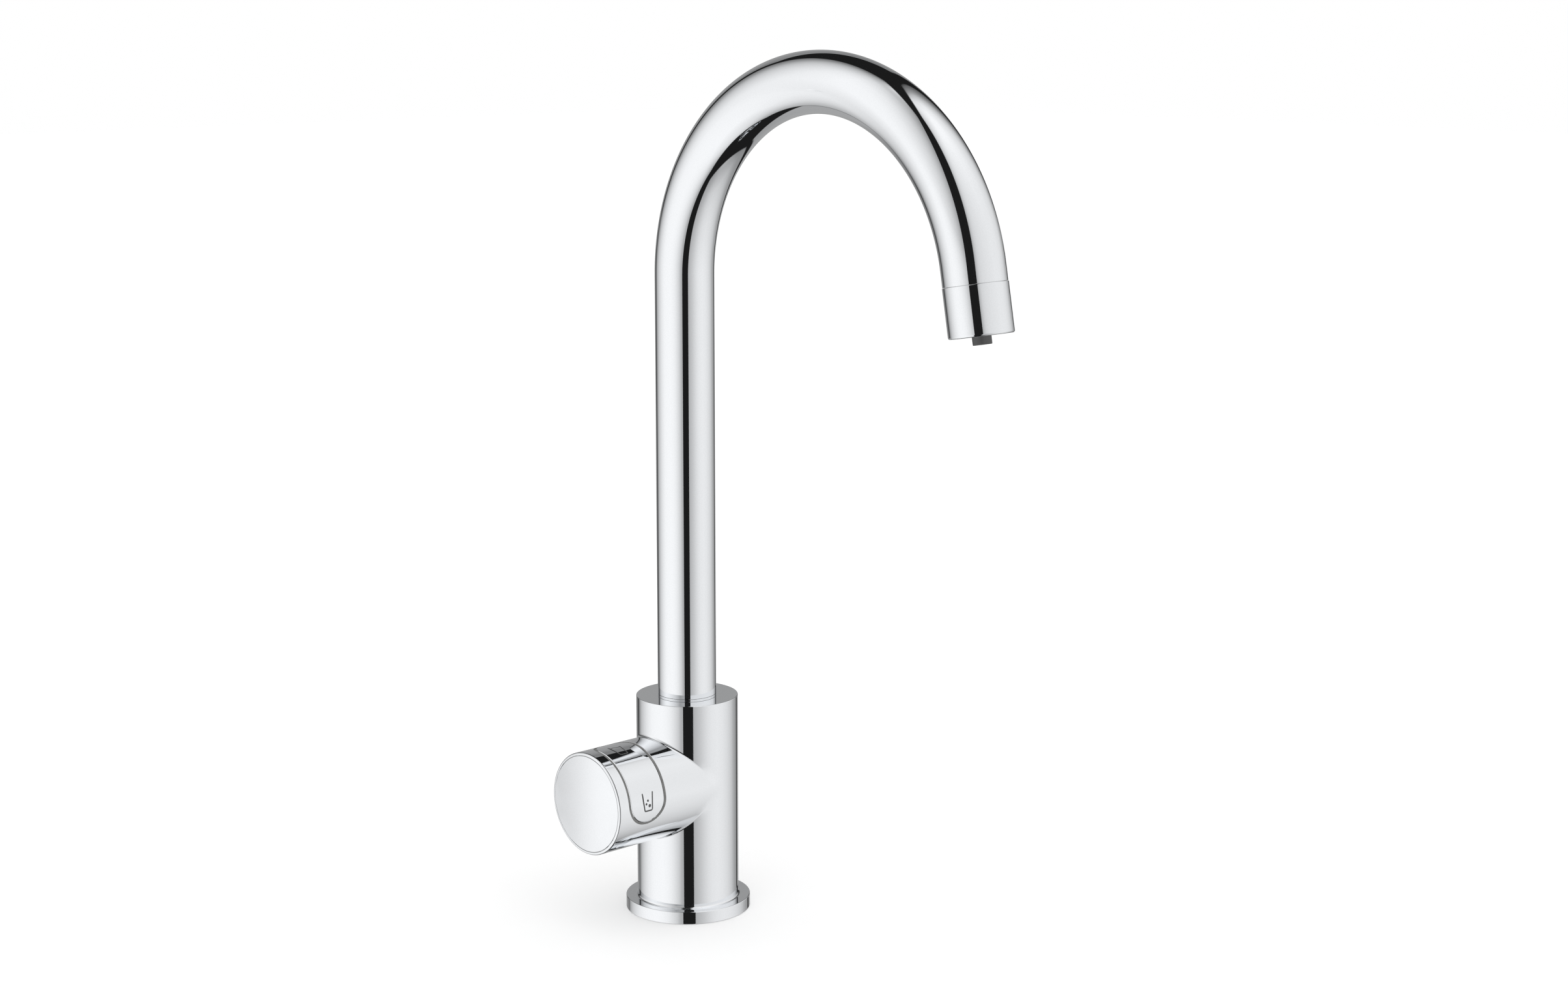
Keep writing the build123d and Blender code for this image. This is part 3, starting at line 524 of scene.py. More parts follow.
looks = {
    "plated_body": plated("plated_body"),
    "plated_spout": plated("plated_spout", 0.028, 2.5e-7),
    "plated_trim": plated("plated_trim", 0.03, 2e-7),
    "seal_rubber": rubber("seal_rubber"),
    "nozzle_plastic": moulded("nozzle_plastic", (0.085, 0.085, 0.085), 0.42),
    "turned_brass": machined("turned_brass", (0.78, 0.58, 0.3), 0.24, (1, 1, 14)),
    "bearing_plastic": moulded("bearing_plastic", (0.78, 0.77, 0.72), 0.4, 1800, 1e-5, 0.04),
    "moulded_plastic": moulded("moulded_plastic", (0.045, 0.047, 0.05), 0.5),
    "water_hose": moulded("water_hose", (0.72, 0.74, 0.75), 0.3, 1500, 6e-6, 0.03),
    "fibre": fibre_sheet("fibre"),
    "steel": machined("steel", (0.6, 0.6, 0.61), 0.28, (1, 6, 6)),
    "circuit_board": laminate("circuit_board"),
    "switch_plastic": moulded("switch_plastic", (0.03, 0.03, 0.032), 0.45),
}
mark = etched("etched_mark")

for node in nodes.values():
    for held in node.material_slots:
        held.material = looks[held.material.name]


# Body

# Ends of the barrel's even part, and the angle below which its corner with the housing melts away
BARREL_LOW, BARREL_HIGH = FOOT_HEIGHT + FOOT_BLEND, BODY_HEIGHT - BODY_EDGE
MELT_BELOW, MELT_OVER = radians(44), radians(24)
# Limits of the CAD model's bores, which are kept, in distances from the tap's axis and the housing's
BARREL_BORES, SCREW_HOLE, SCREW_HOLE_START = 16.6, 2.6, 11.5
HOUSING_BORES, HOUSING_START, HOUSING_WALL, UPPER_SIDE = 16.2, 14, 20.6, 3
BARREL_FACE, BARREL_FACE_WALL = (20.7, 21.1), 20.3

housing_turns = np.linspace(-pi, pi, HOUSING_STEPS + 1)[:-1]
housing_ways = np.outer(np.sin(housing_turns), ACROSS) + np.outer(np.cos(housing_turns), OUTWARD)
barrel_angles = circle(BARREL_STEPS)

# The blend between barrel and housing is the path of a ball that touches both
ball_from_barrel = BODY_RADIUS + HOUSING_BLEND
ball_from_housing = HOUSING_RADIUS + HOUSING_BLEND
ball = HOUSING_MIDDLE + ball_from_housing * housing_ways
ball[:, 0] = -np.sqrt(ball_from_barrel**2 - ball[:, 1] ** 2)
on_barrel = ball * np.array([1, 1, 0]) * BODY_RADIUS / ball_from_barrel + ball * UP
on_stub = HOUSING_MIDDLE + HOUSING_RADIUS * housing_ways + np.outer(ball[:, 0], [1, 0, 0])
from_ball, to_ball = unit(on_barrel - ball), unit(on_stub - ball)
opening = np.arccos(np.clip(np.einsum("ij,ij->i", from_ball, to_ball), -1, 1))[:, None]
# Plans of the blend's two edges, on the unrolled barrel and on the unrolled housing
barrel_edge = np.column_stack([np.arctan2(on_barrel[:, 1], -on_barrel[:, 0]) * BODY_RADIUS, on_barrel[:, 2]])
housing_edge = np.column_stack([housing_turns * HOUSING_RADIUS, -ball[:, 0]])
# Where the two surfaces nearly run together, polishing has melted the corner away
melting = np.clip((MELT_BELOW - opening) / MELT_OVER, 0, 1)
melting = melting**2 * (3 - 2 * melting)
between = -unit(from_ball + to_ball)


def melted(normals, plan, edge, reach=1.3):
    """Turn normals near the corner between barrel and housing towards the normal midway."""
    apart = np.hypot(*(plan[:, None] - edge[None]).transpose(2, 0, 1))
    nearest = apart.argmin(axis=1)
    share = melting[nearest] * np.exp(-((apart.min(axis=1) / reach) ** 2))[:, None]
    return unit(normals + share * (between[nearest] - normals))


def barrel_lift(arc, level):
    """Roll the flat plan of the barrel round its axis."""
    turn = arc / BODY_RADIUS
    normals = np.column_stack([-np.cos(turn), np.sin(turn), 0 * turn])
    points = BODY_RADIUS * normals + np.outer(level, UP)
    return points, melted(normals, np.column_stack([arc, level]), barrel_edge)


def housing_lift(arc, out):
    """Roll the flat plan of the housing round its axis."""
    points, normals = on_housing(arc, out)
    return points, melted(normals, np.column_stack([arc, out]), housing_edge)


def unrolled(arcs, low, high, seam_points):
    """Outline the flat plan of a round face that is cut open along a seam."""
    low, high = np.broadcast_to(low, arcs.shape), np.broadcast_to(high, arcs.shape)
    seam = np.linspace(low[0], high[0], seam_points)[1:-1]
    return np.vstack(
        [
            np.column_stack([arcs, low]),
            np.column_stack([np.full(len(seam), arcs[-1]), seam]),
            np.column_stack([arcs[::-1], high[::-1]]),
            np.column_stack([np.full(len(seam), arcs[0]), seam[::-1]]),
        ]
    )


def barrel_skin():
    """Build the barrel with its top, its blend into the housing, its bores and the stop screw's hole."""
    skin = Skin()
    turned(
        skin,
        [
            (BODY_RADIUS, BARREL_HIGH), (BODY_RADIUS, BODY_HEIGHT, BODY_EDGE),
            (GLIDE_BORE, BODY_HEIGHT, 0.1), (GLIDE_BORE, RING_FOOT),
        ],
        upright,
        barrel_angles,
        steps=6,
    )
    # Barrel, cut open along +X, with the holes of the housing and the stop screw
    arcs = np.linspace(-pi, pi, BARREL_STEPS + 1) * BODY_RADIUS
    outline = unrolled(arcs, BARREL_LOW, BARREL_HIGH, BARREL_SEAM)
    rim = circle(SCREW_STEPS)
    screw_x = STOP_RADIUS * np.cos(rim)
    screw_arc = np.arctan2(np.sqrt(BODY_RADIUS**2 - screw_x**2), -screw_x) * BODY_RADIUS
    screw = np.column_stack([screw_arc, STOP_HEIGHT + STOP_RADIUS * np.sin(rim)])
    filled(skin, outline, [barrel_edge, screw], BARREL_SPACING, barrel_lift)
    # Wall of the stop screw's hole
    outer = np.column_stack([screw_x, np.sqrt(BODY_RADIUS**2 - screw_x**2), screw[:, 1]])
    inner = np.column_stack([screw_x, np.sqrt(FOOT_BORE**2 - screw_x**2), screw[:, 1]])
    wall = np.column_stack([-np.cos(rim), 0 * rim, -np.sin(rim)])
    skin.patch([outer, inner], [wall, wall], grid(2, SCREW_STEPS, closed=True))
    # Blend between barrel and housing
    rows, normals = [], []
    for t in np.linspace(0, 1, 10):
        way = (np.sin((1 - t) * opening) * from_ball + np.sin(t * opening) * to_ball) / np.sin(opening)
        rows.append(ball + HOUSING_BLEND * way)
        normals.append(unit(melting * (between + way) - way))
    skin.patch(rows, normals, grid(len(rows), len(ball), closed=True))

    def bores(middles):
        """Pick the bores of the barrel, which keep the CAD model's own faces."""
        from_axis, levels = np.hypot(middles[:, 0], middles[:, 1]), middles[:, 2]
        within = (levels > SHANK_LENGTH + 0.005) & (levels < RING_FOOT)
        screw_hole = (np.abs(levels - STOP_HEIGHT) < SCREW_HOLE) & (middles[:, 1] > SCREW_HOLE_START)
        return (from_axis < BARREL_BORES) & within & ~screw_hole

    from_cad(skin, "tap_body", bores)
    return skin


def foot_skin():
    """Build the foot, its underside with the gasket's groove, and the shank's thread."""
    skin = Skin()
    turned(
        skin,
        [
            (SHANK_RADIUS + SHANK_THREAD, 0), (GASKET_INNER, 0), (GASKET_INNER, GASKET_DEPTH),
            (GASKET_OUTER, GASKET_DEPTH), (GASKET_OUTER, 0), (FOOT_RADIUS, 0, SOLE_EDGE),
            (FOOT_RADIUS, FOOT_HEIGHT, FOOT_EDGE), (BODY_RADIUS, FOOT_HEIGHT, FOOT_BLEND),
            (BODY_RADIUS, BARREL_LOW),
        ],
        upright,
        barrel_angles,
        steps=8,
    )
    # Thread, cut as a helix that runs out at both ends, with a crest a fifth of the pitch wide
    turn = circle(THREAD_STEPS)
    levels = np.arange(0, SHANK_LENGTH + 0.01, THREAD_ROW)
    phase = (levels[:, None] / SHANK_PITCH - turn[None] / (2 * pi)) % 1
    run_out = np.clip(np.minimum(levels, SHANK_LENGTH - levels) / SHANK_PITCH, 0, 1)[:, None]
    crest = np.clip(1.25 - np.abs(phase - 0.5) * 2.5, 0, 1)
    share = np.where(levels[:, None] < SHANK_PITCH, 1 - run_out * (1 - crest), crest * run_out)
    radius = SHANK_RADIUS + SHANK_THREAD * share
    thread = np.stack([radius * np.cos(turn), radius * np.sin(turn), levels[:, None] + 0 * radius], axis=-1)
    slope = np.gradient(radius, THREAD_ROW, axis=0)
    inwards = np.stack([-np.cos(turn) + 0 * radius, -np.sin(turn) + 0 * radius, slope], axis=-1)
    skin.patch(thread, unit(inwards), grid(len(levels), THREAD_STEPS, closed=True))
    return skin


def housing_skin():
    """Build the side housing with its bores, its opening for the seal and its end round the cap."""
    skin = Skin()
    # Housing, cut open along its back
    far = HOUSING_REACH - HOUSING_EDGE
    turns = np.append(housing_turns, pi) * HOUSING_RADIUS
    outline = unrolled(turns, np.append(-ball[:, 0], -ball[0, 0]), far, HOUSING_SEAM)
    half_width, half_length = BUTTON_HALF_WIDTH + SEAL_GAP, BUTTON_HALF_LENGTH + SEAL_GAP
    aperture, _ = rounded_slot(half_width, half_length, APERTURE_EDGE)
    filled(skin, outline, [aperture], HOUSING_SPACING, housing_lift)
    slot_wall(skin, half_width, half_length, APERTURE_EDGE, LEDGE_DEPTH, hollow=True, rounding=APERTURE_EDGE)
    turned(
        skin,
        [
            (HOUSING_RADIUS, far), (HOUSING_RADIUS, HOUSING_REACH, HOUSING_EDGE),
            (CAP_HOLE, HOUSING_REACH, CAP_EDGE), (CAP_HOLE, CAP_SEAT),
        ],
        sideways,
        housing_turns,
        steps=6,
    )

    def bores(middles):
        """Pick the bores of the housing, apart from the faces round the seal and the barrel's own face."""
        from_axis = np.hypot(middles[:, 0], middles[:, 1])
        from_stub = np.hypot(middles[:, 1], middles[:, 2] - HOUSING_HEIGHT)
        out, depth = -middles[:, 0], push_depth(middles)
        stub = (from_stub < HOUSING_WALL) & (from_axis > HOUSING_BORES)
        stub &= (out > HOUSING_START) & (out < CAP_SEAT + 0.5)
        face = (from_axis > BARREL_FACE[0]) & (from_axis < BARREL_FACE[1]) & (from_stub > BARREL_FACE_WALL)
        slot = (np.abs(out - BUTTON_FROM_AXIS) < half_width + 0.1) & (depth < LEDGE_DEPTH - 0.03)
        slot &= (middles - HOUSING_MIDDLE) @ OUTWARD > UPPER_SIDE
        return stub & ~face & ~slot

    from_cad(skin, "tap_body", bores)
    return skin


barrel_skin().piece("tap_barrel_skin", "base", "plated_body", "tap_body")
foot_skin().piece("tap_foot_skin", "base", "plated_body", "tap_body")
unreflected = [housing_skin().piece("side_housing_skin", "base", "plated_body", "tap_body")]


# Spout

bend_start = ARCH_SPRING - TUBE_FOOT
tube_stations = [*np.arange(8, bend_start, 12), *np.linspace(bend_start, SPOUT_LENGTH - TAIL, 150)]
# The tube is dressed in two meshes, because only its lower end shows in the housing's polish
split = tube_stations[5]
tube_end, arch, sleeve, jet, ring = Skin(), Skin(), Skin(), Skin(), Skin()
tube_end_corners = [(TUBE_BORE, split), (TUBE_BORE, 0), (TUBE_RADIUS, 0, TUBE_EDGE), (TUBE_RADIUS, split)]
arch_corners = [
    (TUBE_RADIUS, split), (TUBE_RADIUS, SPOUT_LENGTH, TUBE_EDGE), (TUBE_BORE, SPOUT_LENGTH),
    (TUBE_BORE, split),
]
turned(tube_end, tube_end_corners, along_spout, circle(TUBE_STEPS), tube_stations)
turned(arch, arch_corners, along_spout, circle(TUBE_STEPS), tube_stations)
tube_end.piece("spout_lower_skin", "spout", "plated_spout", "spout_tube")
unreflected.append(arch.piece("spout_upper_skin", "spout", "plated_spout", "spout_tube"))

turned(
    sleeve,
    [
        (PLUG_BORE, PLUG_BACK), (PLUG_RADIUS, PLUG_BACK), (PLUG_RADIUS, GROOVE_BACK),
        (GROOVE_RADIUS, GROOVE_BACK), (GROOVE_RADIUS, GROOVE_FRONT), (PLUG_RADIUS, GROOVE_FRONT),
        (PLUG_RADIUS, SLEEVE_START), (SLEEVE_RADIUS, SLEEVE_START, 0.2),
        (SLEEVE_RADIUS, SLEEVE_END, 0.8), (MOUTH_RADIUS, SLEEVE_END, 0.12),
        (MOUTH_RADIUS, SLEEVE_FLOOR), (PLUG_BORE, SLEEVE_FLOOR), (PLUG_BORE, PLUG_BACK),
    ],
    at_outlet,
    circle(TUBE_STEPS),
    steps=8,
)
unreflected.append(sleeve.piece("outlet_sleeve_skin", "spout", "plated_spout", "outlet_sleeve"))

turned(
    jet,
    [
        (NOZZLE_BORE, SPIGOT_BACK), (SPIGOT_RADIUS, SPIGOT_BACK), (SPIGOT_RADIUS, FLANGE_BACK),
        (FLANGE_RADIUS, FLANGE_BACK), (FLANGE_RADIUS, SLEEVE_FLOOR), (NOZZLE_RADIUS, SLEEVE_FLOOR),
        (NOZZLE_RADIUS, NOZZLE_END, 0.35), (NOZZLE_BORE, NOZZLE_END, 0.2), (NOZZLE_BORE, SPIGOT_BACK),
    ],
    at_outlet,
    circle(NOZZLE_STEPS),
)
outlet_origin, _, _, outlet_way = at_outlet(0)


def vanes(middles):
    """Pick the cross of vanes inside the nozzle, clear of the bore's wall."""
    relative = middles - outlet_origin
    level = relative @ outlet_way
    return np.linalg.norm(relative - np.outer(level, outlet_way), axis=1) < 2.2


from_cad(jet, "nozzle", vanes)
jet.piece("nozzle_skin", "spout", "nozzle_plastic", "nozzle")

turned(
    ring,
    [
        (RING_BORE, RING_FOOT), (RING_RADIUS, RING_FOOT, 0.2),
        (RING_RADIUS, BODY_HEIGHT), (TUBE_RADIUS, BODY_HEIGHT, 0.05), (TUBE_RADIUS, RING_TOP, 0.08),
        (RING_BORE, RING_TOP), (RING_BORE, RING_FOOT),
    ],
    upright,
    circle(TUBE_STEPS),
)
ring.piece("upper_glide_ring_skin", "base", "plated_spout", "upper_glide_ring")


# Cap, seal and selector pad

cap = Skin()
turned(
    cap,
    [(0, CAP_BACK), (CAP_RADIUS, CAP_BACK, 0.1), (CAP_RADIUS, HOUSING_REACH, CAP_EDGE), (0, HOUSING_REACH)],
    sideways,
    circle(CAP_STEPS),
)
from_cad(cap, "end_cap", lambda middles: middles[:, 0] > -CAP_BACK + 0.01)
unreflected.append(cap.piece("end_cap_skin", "base", "plated_trim", "end_cap"))


def seal_skin():
    """Build the rubber frame, with a shallow channel along the middle of its face."""
    skin = Skin()
    outer_width = BUTTON_HALF_WIDTH + SEAL_GAP - SEAL_CLEARANCE
    outer_length = BUTTON_HALF_LENGTH + SEAL_GAP - SEAL_CLEARANCE
    band = SEAL_GAP - SEAL_CLEARANCE - SEAL_SLOT
    rows, normals = [], []
    for t in np.linspace(0, 1, 9):
        loop, _ = rounded_slot(outer_width, outer_length, -band * t)
        depth = SEAL_RECESS + (SEAL_LIP - SEAL_RECESS) * (2 * t - 1) ** 4
        points, faces_out = on_housing(loop[:, 0], loop[:, 1], depth)
        rows.append(points)
        normals.append(faces_out)
    rows, normals = np.array(rows), np.array(normals)
    slope = np.gradient(rows, axis=0)
    around = np.roll(rows, -1, axis=1) - np.roll(rows, 1, axis=1)
    tilted = unit(np.cross(around, slope))
    tilted *= np.sign(np.einsum("ijk,ijk->ij", tilted, normals))[..., None]
    skin.patch(rows, tilted, grid(len(rows), rows.shape[1], closed=True))
    inner_width, inner_length = BUTTON_HALF_WIDTH + SEAL_SLOT, BUTTON_HALF_LENGTH + SEAL_SLOT
    slot_wall(skin, outer_width, outer_length, SEAL_LIP, LEDGE_DEPTH, hollow=False)
    slot_wall(skin, inner_width, inner_length, SEAL_LIP, SHELF_DEPTH, hollow=True)
    from_cad(skin, "button_seal", lambda middles: push_depth(middles) > SHELF_DEPTH - 0.03)
    return skin


unreflected.append(seal_skin().piece("button_seal_skin", "base", "seal_rubber", "button_seal"))


def stroke(points, width, bend=1.1):
    """Outline a line of a given width, with round ends and corners that bend over so many widths."""
    points = np.array(points, float)
    smooth = [points[0]]
    for before, corner, after in zip(points, points[1:], points[2:]):
        into, out = unit(corner - before), unit(after - corner)
        start, end = corner - into * width * bend, corner + out * width * bend
        for t in np.linspace(0, 1, 6):
            smooth.append((1 - t) ** 2 * start + 2 * t * (1 - t) * corner + t**2 * end)
    smooth = np.array([*smooth, points[-1]])
    ways = unit(np.gradient(smooth, axis=0))
    sides = np.column_stack([-ways[:, 1], ways[:, 0]]) * width / 2
    turns = np.linspace(0, pi, 9)[1:-1]

    def round_end(middle, side):
        """Round off one end of the line."""
        forwards = np.array([side[1], -side[0]])
        return [middle + side * cos(turn) + forwards * sin(turn) for turn in turns]

    first = round_end(smooth[-1], sides[-1])
    last = round_end(smooth[0], -sides[0])
    return np.vstack([smooth + sides, first, (smooth - sides)[::-1], last])


def dot(middle, radius):
    """Outline a round dot."""
    turns = circle(20)
    return np.column_stack([middle[0] + radius * np.cos(turns), middle[1] + radius * np.sin(turns)])


def pad_skin():
    """Build the curved pad with its two marks: a glass with bubbles and a glass with a water line."""
    skin = Skin()
    outline, _ = rounded_slot(BUTTON_HALF_WIDTH, BUTTON_HALF_LENGTH, -BUTTON_EDGE)
    out = BUTTON_FROM_AXIS
    marks = [
        stroke([(10.6, out + 2.35), (17.8, out + 1.65), (17.8, out - 2.25), (10.6, out - 2.95)], 0.62),
        dot((13.6, out - 0.1), 0.5),
        dot((14.9, out + 0.8), 0.5),
        dot((15.8, out - 0.9), 0.7),
        stroke([(-16.2, out + 3.2), (-8.9, out + 2.5), (-8.9, out - 1.3), (-15.2, out - 2.1)], 0.55),
        stroke([(-14.9, out + 2.9), (-15.3, out + 1.2), (-14.6, out - 0.4), (-14.9, out - 2)], 0.45),
    ]
    filled(skin, outline, [], PAD_SPACING, on_housing, marks)
    size = BUTTON_HALF_WIDTH, BUTTON_HALF_LENGTH
    slot_wall(skin, *size, BUTTON_EDGE, BUTTON_THICKNESS, hollow=False, rounding=BUTTON_EDGE)
    from_cad(skin, "selector_button", lambda middles: push_depth(middles) > BUTTON_THICKNESS - 0.03)
    return skin


unreflected.append(pad_skin().piece("selector_pad_skin", "button", "plated_trim", "selector_button", [mark]))

# The return springs, as a skin with a mesh of their own
springs = Skin()
from_cad(springs, "return_springs", lambda middles: middles[:, 2] > 0)
coils = springs.piece("return_springs_skin", "base", "steel", "return_springs")
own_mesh(coils)

# The photograph shows nothing of the side housing in the barrel's polish, nor of the arch in its own
for piece in [*unreflected, *nodes.values()]:
    piece.visible_glossy = False


# Camera, light and floor

camera_data = bpy.data.cameras.new("camera")
camera_data.sensor_width = 36.0
camera_data.lens = 61.87
camera_data.shift_y = -0.035
camera_data.clip_start, camera_data.clip_end = 0.01, 100
camera = linked("camera", camera_data)
camera.location = (-0.7227, -0.8072, 0.3754)
YAW, PITCH = radians(43.96), radians(9.34)
gaze = Vector((sin(YAW) * cos(PITCH), cos(YAW) * cos(PITCH), -sin(PITCH)))
camera.rotation_euler = gaze.to_track_quat("-Z", "Y").to_euler()
bpy.context.scene.camera = camera

# Grey levels of the studio by bearing from the camera's side, in degrees, positive to its right.
# One list serves the half below the horizon and one the half above it.
STUDIO_BELOW = [
    (-180, 161), (-142, 162), (-137, 178), (-127, 199), (-122, 211), (-112, 226), (-100, 238),
    (-86, 244), (-74, 247), (-57, 248), (-46, 245), (-37, 239), (-30, 230), (-23, 217), (-17, 203),
    (-12, 179), (-8, 170), (17, 174), (23, 184), (32, 197), (41, 211), (50, 222), (60, 229),
    (75, 232), (90, 228), (104, 219), (115, 207), (123, 194), (130, 176), (138, 158), (150, 145), (160, 160),
]
STUDIO_ABOVE = [
    (-180, 142), (-158, 140), (-147, 116), (-138, 118), (-134, 132), (-128, 156), (-122, 182),
    (-115, 202), (-105, 221), (-95, 238), (-85, 247), (-75, 245), (-65, 238), (-55, 226), (-45, 212),
    (-37, 196), (-31, 180), (-25, 158), (4, 168), (9, 194), (15, 209), (25, 218), (45, 225), (75, 231),
    (100, 230), (125, 217), (134, 200), (141, 178), (147, 140), (154, 95), (167, 135),
]
# Shares of that light by height: the sine of the elevation, then the share
LEFT_BY_HEIGHT = [
    (-1, 0.7), (-0.94, 0.83), (-0.77, 1), (0.5, 1), (0.71, 0.96), (0.82, 0.88), (0.91, 0.76), (0.97, 0.55),
]
RIGHT_BY_HEIGHT = [
    (-1, 0.45), (-0.94, 0.51), (-0.82, 0.77), (-0.71, 0.86), (-0.57, 0.93), (-0.28, 1), (-0.14, 1.03),
    (0.2, 1), (0.44, 1.01), (0.62, 1.04), (0.71, 1.07), (0.82, 1.12), (0.91, 1.18),
]
BACK_BY_HEIGHT = [(-0.1, 1), (0.05, 1.19), (0.27, 1.15), (0.35, 1.1), (0.44, 0.94), (0.57, 0.8)]
# Light lost near the horizon behind the left softbox, by bearing
SHADED = [
    (-180, 1), (-168, 0.9), (-158, 0.62), (-147.5, 0.45), (-147, 0.1), (-144, 0.1), (-140, 0.27),
    (-134, 0.55), (-127, 0.78), (-112, 0.86), (-95, 0.95), (-85, 1),
]
PLATE_SHARE, MOST_LIGHT, BLACK = 0.93, 1.2, 27


def past(bearing):
    """Give the plane that bounds what lies clockwise of a bearing, as shares of right, towards and up."""
    return cos(radians(bearing)), -sin(radians(bearing)), 0


def before(bearing):
    """Give the plane that bounds what lies anticlockwise of a bearing."""
    return -cos(radians(bearing)), sin(radians(bearing)), 0


# Each panel of the studio is bounded by planes: two softboxes and a grey wall, with black between them
PANELS_BELOW = [
    [past(-140), (-1, 0.2415, 0.209)],
    [before(149.5), (1, 0.219, 0.257)],
    [past(158), before(219), (0, -1, 0.755)],
]
PANELS_ABOVE = [
    [past(-138.5), (-1, 0, -0.14)],
    [before(155.5), (1, 0.241, -0.086)],
    [past(166), before(213.5), (0, -1, -1.3)],
]
# Black flag in front, between the softboxes: its distance, sides and ends in metres
FLAG_DISTANCE, FLAG_SIDES, FLAG_ENDS = 0.45, (-0.05, 0.129), (-1.5, 3.0)
# Narrow graded light that only a flat face turned like the end cap shows: levels by bearing, and its lowest
# and highest sine of elevation
GRADED = [
    (-96.42, 208), (-96.32, 210), (-96.18, 215), (-96.04, 221), (-95.9, 228), (-95.76, 236),
    (-95.62, 242), (-95.48, 246), (-95.34, 248), (-95.2, 249), (-94.95, 250),
]
GRADED_ENDS = (-0.3105, -0.274)
RIGHT, TOWARDS = np.array([0.711, -0.7032, 0]), np.array([-0.7032, -0.711, 0])
# Sines between which a panel's edge fades, the shade below gives way, the half above takes over, the
# shares change from left to right and from front to back, and the panels change at the horizon
PANEL_EDGE, SHADE_EDGE, MIDDLE, SIDE_TO_SIDE = (-0.012, 0.012), (-0.42, -0.26), (-0.1, 0.16), (-0.3, 0.3)
BACK_EDGE, HORIZON = (-0.85, -0.75), (-0.01, 0.01)
EVEN_LIGHT, FLOOR_GLOW, FLOOR_REACH, FLOOR_DROP = 0.84, 0.2, 6, 0.0002


def mirrored(level):
    """Turn a display level of 0 to 255 into the light that the plate shows at that level."""
    level = level / 255
    return (level / 12.92 if level < 0.04 else ((level + 0.055) / 1.055) ** 2.4) / PLATE_SHARE


def calc(tree, operation, first, second=0.0):
    """Work out an operation on two values, each a number or an output."""
    node = put(tree, "ShaderNodeMath", operation=operation)
    for socket, value in zip(node.inputs, (first, second)):
        if isinstance(value, (int, float)):
            socket.default_value = value
        else:
            tree.links.new(value, socket)
    return node.outputs["Value"]


def blend_values(tree, factor, first, second):
    """Mix two values, each a number or an output, by a factor."""
    mix = put(tree, "ShaderNodeMix", data_type="FLOAT")
    for index, value in ((0, factor), (2, first), (3, second)):
        if isinstance(value, (int, float)):
            mix.inputs[index].default_value = value
        else:
            tree.links.new(value, mix.inputs[index])
    return mix.outputs[0]


def curve(tree, value, stops, low, high, scale=1.0):
    """Read a value off a list of stops that lie between low and high."""
    ramp = put(tree, "ShaderNodeValToRGB", {"Fac": fade(tree, value, low, high)})
    elements = ramp.color_ramp.elements
    for _ in range(len(stops) - 2):
        elements.new(0.5)
    for element, (place, amount) in zip(elements, stops):
        element.position = (place - low) / (high - low)
        element.color = (*[amount / scale] * 3, 1)
    return ramp.outputs["Color"] if scale == 1 else calc(tree, "MULTIPLY", ramp.outputs["Color"], scale)


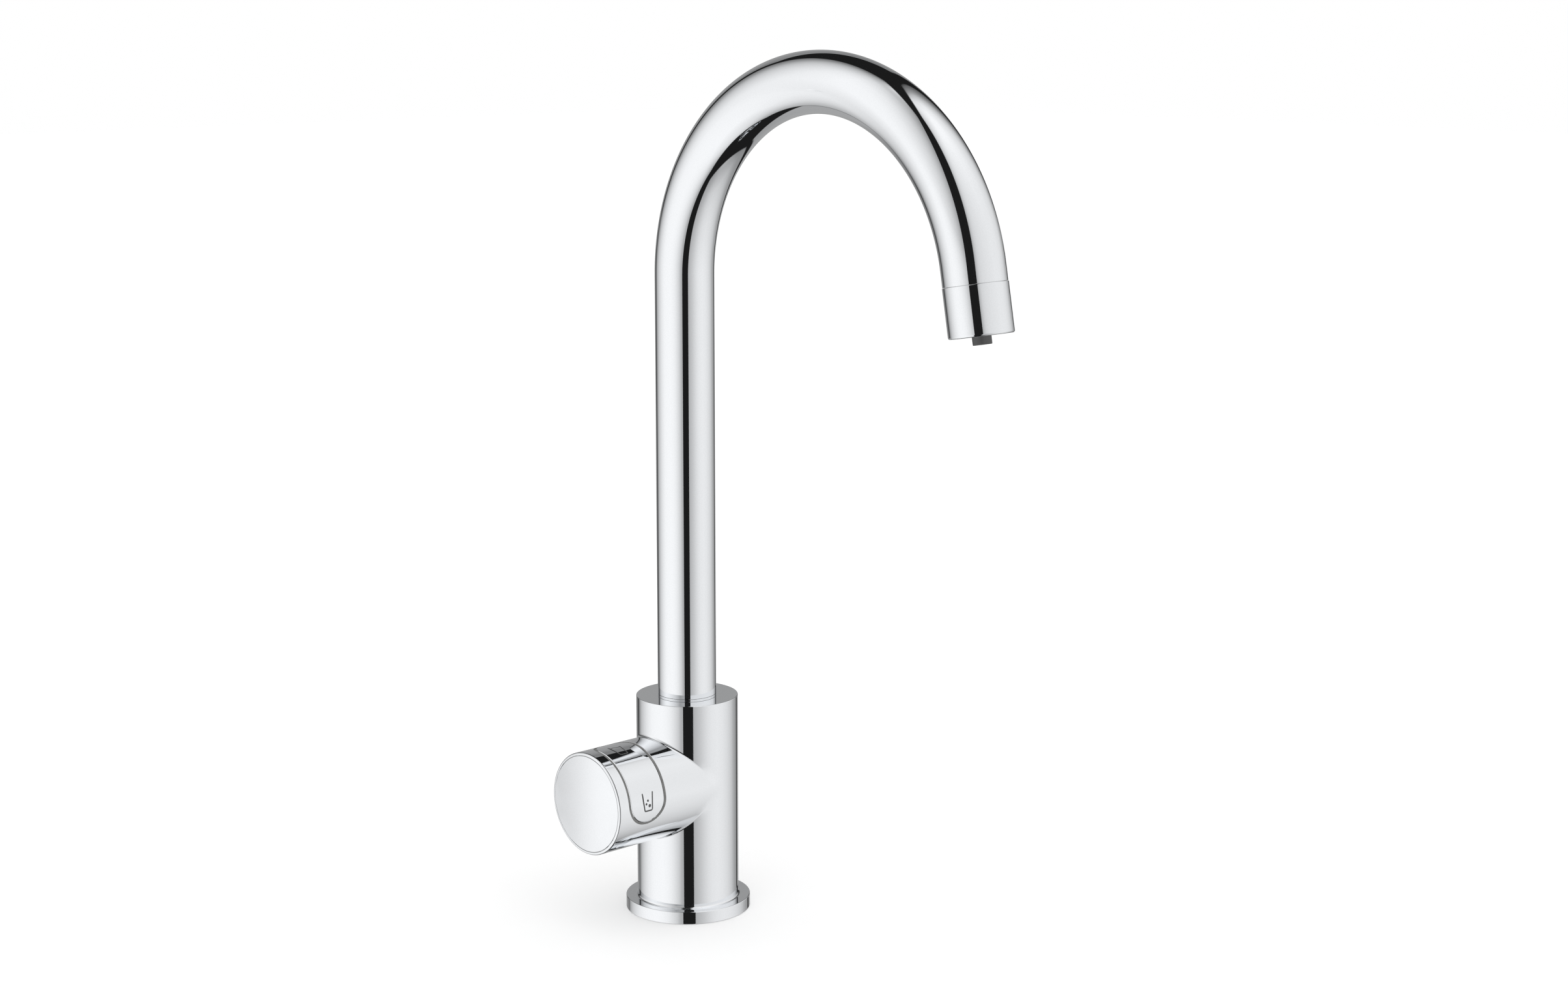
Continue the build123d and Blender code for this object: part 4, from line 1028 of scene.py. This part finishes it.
def make_studio():
    """Make the world: white behind the object, even light on it, and a studio in its reflections."""
    world = bpy.data.worlds.new("studio")
    bpy.context.scene.world = world
    world.use_nodes = True
    tree = world.node_tree
    way = tree.nodes.new("ShaderNodeTexCoord").outputs["Generated"]

    def along(share_right, share_towards, share_up):
        """Measure the direction along a vector."""
        product = put(tree, "ShaderNodeVectorMath", {0: way}, operation="DOT_PRODUCT")
        product.inputs[1].default_value = share_right * RIGHT + share_towards * TOWARDS + share_up * UP
        return product.outputs["Value"]

    def seen(panels):
        """Tell where any of the panels is seen."""
        total = 0.0
        for panel in panels:
            share = 1.0
            for plane in panel:
                share = calc(tree, "MINIMUM", share, fade(tree, along(*plane), *PANEL_EDGE))
            total = calc(tree, "MAXIMUM", total, share)
        return total

    right, towards, up = along(1, 0, 0), along(0, 1, 0), along(0, 0, 1)
    bearing = calc(tree, "MULTIPLY", calc(tree, "ARCTAN2", right, towards), 180 / pi)
    below, above = (
        curve(tree, bearing, [(angle, mirrored(grey)) for angle, grey in stops], -180, 180, MOST_LIGHT)
        for stops in (STUDIO_BELOW, STUDIO_ABOVE)
    )
    shaded = blend_values(tree, fade(tree, up, *SHADE_EDGE), 1.0, curve(tree, bearing, SHADED, -180, 180))
    below = calc(tree, "MULTIPLY", below, shaded)
    level = blend_values(tree, fade(tree, up, *MIDDLE), below, above)
    left_share, right_share, back_share = (
        curve(tree, up, stops, -1, 1, MOST_LIGHT)
        for stops in (LEFT_BY_HEIGHT, RIGHT_BY_HEIGHT, BACK_BY_HEIGHT)
    )
    share = blend_values(tree, fade(tree, right, *SIDE_TO_SIDE), left_share, right_share)
    share = blend_values(tree, spread(tree, towards, 1.0, 0.0, *BACK_EDGE), share, back_share)
    level = calc(tree, "MULTIPLY", level, share)
    on_panels = blend_values(tree, fade(tree, up, *HORIZON), seen(PANELS_BELOW), seen(PANELS_ABOVE))
    level = blend_values(tree, on_panels, mirrored(BLACK), level)
    graded = [(angle, mirrored(grey)) for angle, grey in GRADED]
    first, last = GRADED[0][0], GRADED[-1][0]
    on_strip = 1.0
    for value, low, high in ((bearing, first, last), (up, *GRADED_ENDS)):
        edge = (high - low) / 60
        for spot, side in ((low, 1), (high, -1)):
            share = spread(tree, value, 0.5 - side / 2, 0.5 + side / 2, spot - edge, spot + edge)
            on_strip = calc(tree, "MINIMUM", on_strip, share)
    level = blend_values(tree, on_strip, level, curve(tree, bearing, graded, first, last, MOST_LIGHT))
    path = tree.nodes.new("ShaderNodeLightPath")
    reflected = calc(tree, "MAXIMUM", path.outputs["Is Glossy Ray"], path.outputs["Is Transmission Ray"])
    level = blend_values(tree, reflected, EVEN_LIGHT, level)
    level = blend_values(tree, path.outputs["Is Camera Ray"], level, 1.0)
    tree.links.new(level, tree.nodes["Background"].inputs["Color"])


make_studio()


def card(name, corners, colour, roughness, **sockets):
    """Make a flat card that glows white, and give it with its look's tree and shader."""
    mesh = bpy.data.meshes.new(name)
    mesh.from_pydata([tuple(corner) for corner in corners], [], [(0, 1, 2, 3)])
    obj = linked(name, mesh)
    material, tree, shader = shade(name, colour, roughness, **sockets)
    shader.inputs["Emission Color"].default_value = (1, 1, 1, 1)
    mesh.materials.append(material)
    return obj, tree, shader


# The black flag shows in the polished metal only
flag_plan = [(FLAG_SIDES[i], FLAG_ENDS[j]) for i, j in ((0, 0), (1, 0), (1, 1), (0, 1))]
flag_corners = [TOWARDS * FLAG_DISTANCE + RIGHT * side + UP * end for side, end in flag_plan]
flag, _, flag_shader = card("black_flag", flag_corners, (0, 0, 0), 1.0, Specular_IOR_Level=0.0)
flag.visible_camera = flag.visible_diffuse = flag.visible_shadow = False
flag_shader.inputs["Emission Strength"].default_value = mirrored(BLACK)

sun_data = bpy.data.lights.new("soft_light", "SUN")
sun_data.energy = 0.5
sun_data.angle = radians(70)
sun = linked("soft_light", sun_data)
sun.rotation_euler = (radians(28), radians(-22), 0)
sun.visible_glossy = False

floor_corners = [(x * FLOOR_REACH, y * FLOOR_REACH, 0) for x, y in ((-1, -1), (1, -1), (1, 1), (-1, 1))]
floor, floor_tree, floor_shader = card("floor", floor_corners, (0.9, 0.9, 0.9), 0.9)
floor.location.z = -FLOOR_DROP
floor.visible_glossy = False
floor_path = floor_tree.nodes.new("ShaderNodeLightPath")
glow = calc(floor_tree, "MULTIPLY", floor_path.outputs["Is Camera Ray"], FLOOR_GLOW)
floor_tree.links.new(glow, floor_shader.inputs["Emission Strength"])

bpy.context.scene.view_settings.view_transform = "Standard"

bpy.context.view_layer.update()
